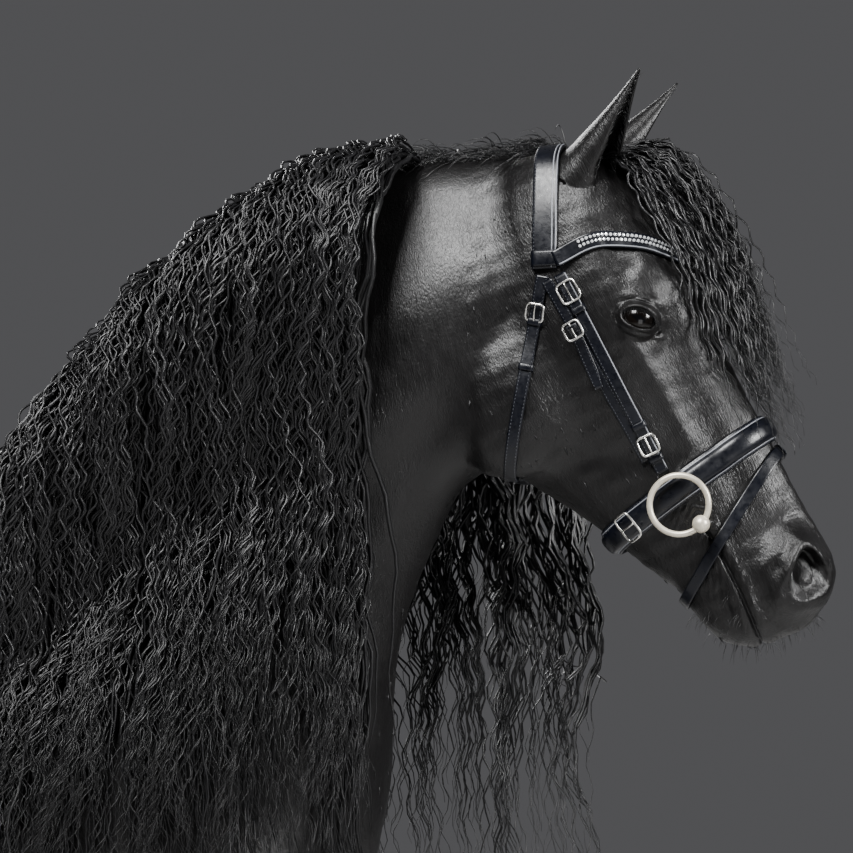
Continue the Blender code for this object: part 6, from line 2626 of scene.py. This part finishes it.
class Looks:
    """The materials, each built when it is first asked for."""

    def __init__(self) -> None:
        """Starts with none."""
        self.made: dict[str, bpy.types.Material] = {}

    def material(self, name: str) -> bpy.types.Material:
        """The material of this name.

        Args:
            name: Its name.

        Returns:
            The material, made when it is first asked for.
        """
        if name not in self.made:
            surface = Surface(name, FINISHES[name])
            getattr(self, name, self.plain)(surface)
            self.made[name] = surface.material
        return self.made[name]

    def dress(self, obj: bpy.types.Object, name: str) -> bpy.types.Object:
        """Gives an object one material.

        Args:
            obj: The object.
            name: The material's name.

        Returns:
            The same object.
        """
        obj.data.materials.clear()
        obj.data.materials.append(self.material(name))
        return obj

    def hand_over(self, obj: bpy.types.Object, name: str, slot: str, *nodes: str) -> bpy.types.Object:
        """Dresses a piece in one material and hands it over."""
        return finished(self.dress(obj, name), slot, *nodes)

    def plain(self, surface: Surface) -> None:
        """A plain solid with spots, wear and grain.

        Args:
            surface: The material to work on.
        """
        finish = surface.finish
        cloud = surface.noise(surface.place, 1 / finish.spot)
        surface.tinted(cloud)
        surface.roughened(cloud)
        surface.bumped(surface.noise(surface.place, 1 / finish.grain, 2.0))

    def leather(self, surface: Surface) -> None:
        """Oiled leather with grain, patchy tone and roughness, and a broader bump.

        Args:
            surface: The material to work on.
        """
        finish = surface.finish
        cloud = surface.noise(surface.place, 1 / finish.spot)
        worn = surface.noise(surface.place, 1 / 0.006, 4.0)
        surface.tinted(surface.product(cloud, surface.total(worn, 0.5)), 0.6)
        surface.roughened(worn)
        first = surface.bumped(surface.noise(surface.place, 1 / finish.grain, 2.0))
        surface.bumped(surface.noise(surface.place, 1 / 0.005, 2.0), 0.2, 0.0006, first)

    def coat(self, surface: Surface) -> None:
        """Short glossy fur: streaks down the face, neck and legs, and back along the trunk, and patches.

        Args:
            surface: The material to work on.
        """
        x, _, z = surface.parts(surface.place)
        ahead = surface.ranged(x, 0.70, 0.84, 0.0, 1.0)
        trunk = surface.ranged(x, 0.55, 0.15, 0.0, 1.0)
        high = surface.product(trunk, surface.ranged(z, 0.80, 1.05, 0.0, 1.0))
        fine = surface.streaks(ahead, high, 0.0010, 0.011)
        clumps = surface.streaks(ahead, high, 0.0042, 0.020)
        patches = surface.noise(surface.place, 1 / surface.finish.spot, 4.0)
        speckle = surface.noise(surface.place, 1 / 0.0035, 3.0)
        surface.tinted(surface.total(surface.product(patches, 0.5), surface.product(speckle, 0.5)), 0.55)
        surface.roughened(surface.total(surface.product(clumps, 0.6), surface.product(patches, 0.4)))
        foremost, lowest = surface.ranged(x, 1.00, 1.07, 0.0, 1.0), surface.ranged(z, 1.74, 1.66, 0.0, 1.0)
        lips = surface.product(foremost, lowest)
        creases = surface.product(lips, surface.noise(surface.place, 1 / 0.009, 4.0))
        wrinkled = surface.bumped(creases, 0.30, 0.0024)
        first = surface.bumped(clumps, 0.30, 0.0016, wrinkled)
        second = surface.bumped(fine, None, None, first)
        surface.bumped(speckle, 0.22, 0.0014, second)

    def hair(self, surface: Surface) -> None:
        """Long hair: fine streaks down each strand, with a tone of its own.

        Args:
            surface: The material to work on.
        """
        across, station, _ = surface.parts(surface.uv("strand"))
        number = surface.maths("FLOOR", across)
        tone = surface.maths("FRACT", surface.product(number, 0.381966))
        streak = surface.noise(surface.scaled(surface.uv("strand"), (9.0, 1.2, 1.0)), 1.0, 2.0)
        surface.tinted(surface.total(surface.product(tone, 0.55), surface.product(streak, 0.45)), 0.75)
        surface.roughened(streak)
        surface.bumped(streak)

    def horn(self, surface: Surface) -> None:
        """Hoof horn: rings of growth and streaks down to the ground.

        Args:
            surface: The material to work on.
        """
        rings = surface.noise(surface.scaled(surface.place, (8.0, 8.0, 320.0)), 1.0, 3.0)
        streaks = surface.noise(surface.scaled(surface.place, (420.0, 420.0, 14.0)), 1.0, 2.0)
        surface.tinted(streaks, 0.6)
        surface.roughened(rings)
        first = surface.bumped(rings)
        surface.bumped(streaks, 0.25, 0.0003, first)

    def eye(self, surface: Surface) -> None:
        """A dark brown iris round a pupil that lies flat, under a clear wet surface.

        Args:
            surface: The material to work on.
        """
        x, y, _ = surface.parts(surface.uv("eye"))
        far = surface.length(x, y)
        pupil = surface.length(surface.maths("DIVIDE", x, 0.36), surface.maths("DIVIDE", y, 0.17))
        turn = surface.maths("ARCTAN2", y, x)
        spokes = surface.maths("SINE", surface.product(turn, 47.0))
        fibres = surface.total(surface.product(spokes, 0.2), surface.noise(surface.uv("eye"), 14.0))
        dark, light, ring, black = (
            (0.0014, 0.0009, 0.0007), (0.0050, 0.0030, 0.0020), (0.0045, 0.0038, 0.0038),
            (0.0012, 0.0012, 0.0016),
        )
        iris = surface.mixed(fibres, dark, light)
        edged = surface.mixed(surface.ranged(far, 0.62, 0.80, 0.0, 1.0), iris, ring)
        whole = surface.mixed(surface.ranged(pupil, 0.85, 1.1, 1.0, 0.0), edged, black)
        surface.link(whole, surface.shader.inputs["Base Color"])
        surface.roughened(surface.noise(surface.place, 60.0))


@dataclass(frozen=True)
class Lie:
    """The way that short hair lies on the skin."""

    def ways(self, points: np.ndarray, normals: np.ndarray) -> np.ndarray:
        """The way that it lies at each point, square to the skin.

        Args:
            points: Places on the skin.
            normals: The way that the skin faces there.

        Returns:
            The ways, one row each.
        """
        head = smoothstep(0.66, 0.78, points[:, 0])[:, None]
        legs = smoothstep(1.00, 0.80, points[:, 2])[:, None]
        neck = smoothstep(0.15, 0.45, points[:, 0])[:, None]
        way = np.array((-0.90, 0.0, -0.42)) * (1 - neck) + np.array((-0.35, 0.0, -0.90)) * neck
        way = way * (1 - head) + np.array(DOWN) * head
        way = way * (1 - legs) + np.array((-0.05, 0.0, -1.0)) * legs
        return unit(way - normals * (way * normals).sum(1)[:, None])


@dataclass(frozen=True)
class ShortHair:
    """Short hairs and tufts that grow straight out of the skin."""

    name: str
    length: tuple[float, float]
    width: float
    rise: float
    seed: int
    stations: int = 4
    droop: float = 0.0
    spread: float = 0.12

    def build(self, points: np.ndarray, normals: np.ndarray, ways: np.ndarray) -> bpy.types.Object:
        """Builds the hairs.

        Args:
            points: Their roots.
            normals: The way that the skin faces at each.
            ways: The way that they lie.

        Returns:
            The hairs as one object, laid out from the withers.
        """
        draw = np.random.default_rng(self.seed)
        count = len(points)
        length = draw.uniform(*self.length, count)[:, None, None]
        way = unit(ways + draw.normal(0, self.spread, (count, 3)) + normals * self.rise)[:, None]
        t = np.linspace(0, 1, self.stations)[None, :, None]
        line = points[:, None] - normals[:, None] * 0.0012 + way * length * t
        line = line - normals[:, None] * length * t * t * self.rise * 0.45
        line[..., 2] -= (length * t * t * self.droop)[..., 0]
        facing = np.repeat(normals[:, None], self.stations, 1)
        return strands(self.name, line, facing, draw.random(count), self.width, 0.12)


@dataclass(frozen=True)
class SkinSamples:
    """Places drawn evenly from the skin's surface."""

    points: np.ndarray
    normals: np.ndarray

    @staticmethod
    def of(obj: bpy.types.Object, count: int, seed: int) -> "SkinSamples":
        """Draws places from a skin made of triangles.

        Args:
            obj: The skin.
            count: How many places to draw.
            seed: What sets them.

        Returns:
            The places and the way that the skin faces there.
        """
        draw = np.random.default_rng(seed)
        points = coordinates(obj.data)
        corners = points[loop_corners(obj.data).reshape(-1, 3)]
        cross = np.cross(corners[:, 1] - corners[:, 0], corners[:, 2] - corners[:, 0])
        area = np.linalg.norm(cross, axis=1)
        chosen = draw.choice(len(area), count, p=area / area.sum())
        a, b = np.sqrt(draw.random(count))[:, None], draw.random(count)[:, None]
        picked = corners[chosen]
        spots = picked[:, 0] * (1 - a) + picked[:, 1] * a * (1 - b) + picked[:, 2] * a * b
        return SkinSamples(spots, unit(cross[chosen]))

    def kept(self, mask: np.ndarray, most: int) -> "SkinSamples":
        """The places that a mask keeps, up to a number of them."""
        rows = np.flatnonzero(mask)[:most]
        return SkinSamples(self.points[rows], self.normals[rows])


def eyeball(eye: Eye, looks: Looks) -> bpy.types.Object:
    """One eye as a glossy ball, its iris and pupil laid out in its own frame.

    Args:
        eye: The eye that it belongs to.
        looks: The materials.

    Returns:
        The new object.
    """
    obj = ball(f"eyeball_{eye.side.word}", eye.frame @ Matrix.Scale(eye.radius, 4), 5)
    local = carried(eye.frame.inverted(), coordinates(obj.data)[loop_corners(obj.data)])
    set_uv(obj.data, "eye", local[:, :2] / eye.radius)
    return looks.hand_over(obj, "eye", "eye_glass", f"eye_{eye.side.word}")


def lashes(eye: Eye, looks: Looks) -> bpy.types.Object:
    """The lashes of one upper lid.

    Args:
        eye: The eye that it belongs to.
        looks: The materials.

    Returns:
        The new object.
    """
    turn = np.linspace(math.radians(12), math.radians(166), 54)
    x, y = eye.long * 1.02 * np.cos(turn), eye.high * 1.06 * np.sin(turn) + 0.10 * eye.long * np.cos(turn)
    z = np.sqrt(np.maximum(eye.lid**2 - x**2 - y**2, 0.0)) - 0.0004
    roots = carried(eye.frame, np.stack([x, y, z], 1))
    turned = np.array(eye.frame)[:3, :3]
    ways = np.stack([x * 12, 0.15 + 0 * x, 0.9 + 0 * x], 1) @ turned.T
    ways[:, 2] -= 0.35
    normals = np.repeat(turned[:, 1][None], len(roots), 0)
    hair = ShortHair(f"lashes_{eye.side.word}", (0.011, 0.016), 0.0006, 0.1, 19, 6, 0.35, 0.06)
    obj = hair.build(roots, normals, unit(ways))
    return looks.hand_over(obj, "hair", "long_hair")


def ear_hair(ear: Ear, looks: Looks) -> bpy.types.Object:
    """The fine hair along the edges and in the cup of one ear.

    Args:
        ear: The ear that it grows in.
        looks: The materials.

    Returns:
        The new object.
    """
    draw = np.random.default_rng(29)
    opening, across = (np.array(way) for way in ear.frame())
    roots, ways, normals = [], [], []
    for _ in range(420):
        t = float(draw.uniform(0.10, 0.93))
        width, spread = ear.spread(t)
        angle = spread * float(draw.choice((-1, 1)) * (1 - 0.5 * draw.random() ** 3))
        way = opening * -math.cos(angle) + across * math.sin(angle)
        roots.append(np.array(ear.middle(t)) + way * (width - ear.wall * 0.6))
        ways.append(unit(np.array(ear.axis) * 0.8 - way * 0.9 + opening * 0.15))
        normals.append(unit(opening - way * 0.4))
    hair = ShortHair(f"ear_hair_{ear.side.word}", (0.006, 0.013), 0.0009, 0.05, 31, 5, 0.0, 0.15)
    obj = hair.build(np.array(roots), np.array(normals), np.array(ways))
    return looks.hand_over(obj, "hair", "coat")


@dataclass(frozen=True)
class Hoof:
    """One hoof, flat on the ground, with rings of growth up to the coronet."""

    limb: Limb
    side: Side
    rows: tuple[tuple[float, float, float, float], ...] = (
        (0.000, 0.074, 0.067, 0.012), (0.030, 0.068, 0.062, 0.008), (0.062, 0.060, 0.055, 0.003),
        (0.120, 0.048, 0.046, -0.008),
    )
    coronet: float = 0.074
    drop: float = math.radians(20)

    def build(self, looks: Looks) -> bpy.types.Object:
        """Builds the hoof.

        Args:
            looks: The materials.

        Returns:
            The new object.
        """
        x, y = FOOT_CENTRE[self.limb]
        x, y = x + STANCE[self.limb, self.side], y * self.side.value
        table = np.array(self.rows)
        wall = [(float(t), 1.0) for t in np.linspace(0.02, 1.0, 34)]
        rings = []
        for t, shrink in ((0.0, 0.55), (0.0, 0.975), *wall, (1.0, 0.93), (0.97, 0.70)):
            level = self.coronet * t
            long, wide, ahead = (float(np.interp(level, table[:, 0], table[:, k])) for k in (1, 2, 3))
            grown = 1 - 0.004 * (1 + math.sin(t * 41)) - 0.010 * bell(np.array(t), 0.05)
            size = shrink * grown
            halves = wide * size, long * size, long * 0.86 * size
            ring = section((x + ahead, y, 0), (0, 1, 0), (1, 0, 0), *halves, 2.1, count=48)
            ring[:, 2] = t * (self.coronet + math.tan(self.drop) * (ring[:, 0] - x))
            rings.append(ring)
        obj = loft(f"horn_{self.limb.value}_{self.side.word}", np.array(rings))
        return looks.hand_over(obj, "horn", "hoof_horn", f"hoof_{self.limb.value}_{self.side.word}")


@dataclass(frozen=True)
class Lamp:
    """A soft studio lamp."""

    name: str
    place: tuple[float, float, float]
    size: float
    power: float

    def build(self, target: Vector) -> None:
        """Sets up the lamp, facing the target.

        Args:
            target: What it faces.
        """
        data = bpy.data.lights.new(self.name, "AREA")
        data.size = self.size
        data.energy = self.power
        obj = new_object(self.name, data)
        obj.location = self.place
        obj.rotation_euler = (Vector(self.place) - target).to_track_quat("Z", "Y").to_euler()


@dataclass(frozen=True)
class Studio:
    """The studio: lamps, a plain floor, a plain backdrop colour and the camera at the photo's angle."""

    target: tuple[float, float, float] = (0.702, 0.0, 1.831)
    azimuth: float = math.radians(10)
    elevation: float = math.radians(-2.5)
    distance: float = 4.0
    half_view: float = 0.5075
    backdrop: tuple[float, float, float] = (0.088, 0.088, 0.092)
    floor_radius: float = 6.0
    lamps: tuple[Lamp, ...] = (
        Lamp("key", (0.2, -2.6, 4.6), 1.3, 315.0),
        Lamp("front", (4.2, -1.2, 3.1), 1.1, 225.0),
        Lamp("rim", (-1.6, 3.4, 3.6), 2.0, 190.0),
        Lamp("low", (2.6, -3.6, 0.9), 1.6, 16.0),
    )

    def build(self, looks: Looks) -> None:
        """Builds the studio.

        Args:
            looks: The materials.
        """
        target = Vector(self.target)
        for lamp in self.lamps:
            lamp.build(target)
        angles = np.arange(96) * 2 * math.pi / 96
        edge = np.stack([np.cos(angles), np.sin(angles), 0 * angles], 1) * self.floor_radius
        rings = [edge + (0, 0, z) for z in (-0.02, 0.0)]
        floor = loft("floor", np.array(rings))
        looks.dress(floor, "floor")
        world = bpy.data.worlds.new("backdrop")
        world.use_nodes = True
        world.node_tree.nodes["Background"].inputs["Color"].default_value = (*self.backdrop, 1.0)
        bpy.context.scene.world = world
        back = Vector((math.sin(self.azimuth), -math.cos(self.azimuth), 0)) * math.cos(self.elevation)
        back.z = math.sin(self.elevation)
        data = bpy.data.cameras.new("camera")
        data.lens = data.sensor_width * self.distance / (2 * self.half_view)
        data.clip_end = 60.0
        camera = new_object("camera", data)
        camera.location = target + back * self.distance
        camera.rotation_euler = back.to_track_quat("Z", "Y").to_euler()
        bpy.context.scene.camera = camera


@dataclass
class Horse:
    """The whole horse."""

    looks: Looks
    skin: Skin = field(default_factory=Skin)

    def grow(self, style: str, guides: Guides, ending: str = "", *nodes: str) -> None:
        """Grows a bunch of hair, and hands it over.

        Args:
            style: The name of its style.
            guides: The lines that it follows.
            ending: What is added to that name for its own.
            nodes: The CAD nodes that it stands for.
        """
        for obj in Hair(style + ending, guides, STYLES[style]).build():
            self.looks.hand_over(obj, "hair", "long_hair", *nodes)

    def long_hair(self, tree: BVHTree) -> None:
        """Builds the mane, the forelock, the tail and the feathering.

        Args:
            tree: A search tree over the skin.
        """
        near = Mane(Side.RIGHT, 0.135, 0.94, 1.10, 0.78).guides(tree)
        far = Mane(Side.LEFT, 0.00, 0.50, 1.24, 1.02, seed=4, forward=0.14, cling=3.0).guides(tree)
        self.grow("mane_under", near)
        self.grow("mane_near", near)
        self.grow("mane_far", far)
        self.grow("forelock", Forelock().guides(tree))
        self.grow("tail_hair", Tail().guides(), "", "tail")
        for limb in Limb:
            for side in Side:
                self.grow("feather", Feather(limb, side).guides(tree), f"_{limb.value}_{side.word}")
        dock = Tail().core()
        set_uv(dock.data, UV_NAME, Unwrap().placed(coordinates(dock.data)[loop_corners(dock.data)]))
        set_uv(dock.data, "strand", np.zeros((len(dock.data.loops), 2)))
        self.looks.hand_over(dock, "hair", "long_hair")

    def short_hair(self, body: bpy.types.Object) -> None:
        """Builds the tufts, the whiskers and the upright hair of the crest.

        Args:
            body: The skin.
        """
        samples = SkinSamples.of(body, 26000, 41)
        points, normals = samples.points, samples.normals
        out = head_places(points)[1]
        draw = np.random.default_rng(43)
        edge = (np.abs(normals[:, 1]) < 0.35) | (points[:, 2] < 0.9) | ((points[:, 0] > 0.70) & (out < -0.02))
        face = (points[:, 0] > 0.78) & (out > 0.0) & (points[:, 2] < 2.06)
        chosen = samples.kept(edge & ~face & (draw.random(len(points)) < 0.5), 3800)
        tufts = ShortHair("tufts", (0.007, 0.014), 0.0022, 0.16, 47)
        fur = tufts.build(chosen.points, chosen.normals, Lie().ways(chosen.points, chosen.normals))
        self.looks.hand_over(fur, "hair", "coat")
        dense = SkinSamples.of(body, 120000, 53)
        along, out = head_places(dense.points)
        x, y, z = dense.points.T
        muzzle = (along > 0.505) & (z < 1.80) & (x > 0.85) & ((out < 0.0) | (along > 0.572))
        chosen = dense.kept(muzzle, 170)
        whiskers = ShortHair("whiskers", (0.010, 0.030), 0.00050, 1.0, 59, 7, 0.35, 0.25)
        self.looks.hand_over(whiskers.build(chosen.points, chosen.normals, chosen.normals), "hair", "coat")
        crest = (x > 0.33) & (x < 0.82) & (z > 2.02) & (dense.normals[:, 2] > 0.75) & (np.abs(y) < 0.020)
        chosen = dense.kept(crest, 1100)
        upright = ShortHair("crest_hair", (0.040, 0.095), 0.0017, 0.55, 61, 9, 0.45, 0.30)
        back = np.repeat([(-0.8, -0.25, 0.35)], len(chosen.points), 0)
        self.looks.hand_over(upright.build(chosen.points, chosen.normals, unit(back)), "hair", "long_hair")

    def build(self) -> None:
        """Builds the horse."""
        body = self.skin.build()
        unwrap_skin(body)
        self.looks.dress(body, "coat")
        tree = tree_of(body)
        head = self.head_of(body)
        bridle = Bridle(Worn(head), tree_of(head), self.looks)
        bpy.data.objects.remove(head)
        self.short_hair(body)
        self.long_hair(tree)
        for eye in self.skin.eyes:
            eyeball(eye, self.looks)
            lashes(eye, self.looks)
        for ear in self.skin.ears:
            ear_hair(ear, self.looks)
        for limb in Limb:
            for side in Side:
                Hoof(limb, side).build(self.looks)
        bridle.build()
        finished(body, "coat", *self.skin.nodes)

    def head_of(self, body: bpy.types.Object) -> bpy.types.Object:
        """The front of the skin alone, for what is worn to lie on.

        Args:
            body: The skin.

        Returns:
            A copy of that part.
        """
        points = coordinates(body.data)
        corners = loop_corners(body.data).reshape(-1, 3)
        ahead = (points[corners][:, :, 0] > 0.66).all(axis=1) & (points[corners][:, :, 2] > 1.4).all(axis=1)
        return new_object("head_part", new_mesh("head_part", points, corners[ahead]))


def main() -> None:
    """Builds the horse and the studio, and hands them over."""
    logging.basicConfig(level=logging.INFO, format="%(message)s")
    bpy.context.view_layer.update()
    looks = Looks()
    Horse(looks).build()
    Studio().build(looks)


if __name__ == "__main__":
    main()
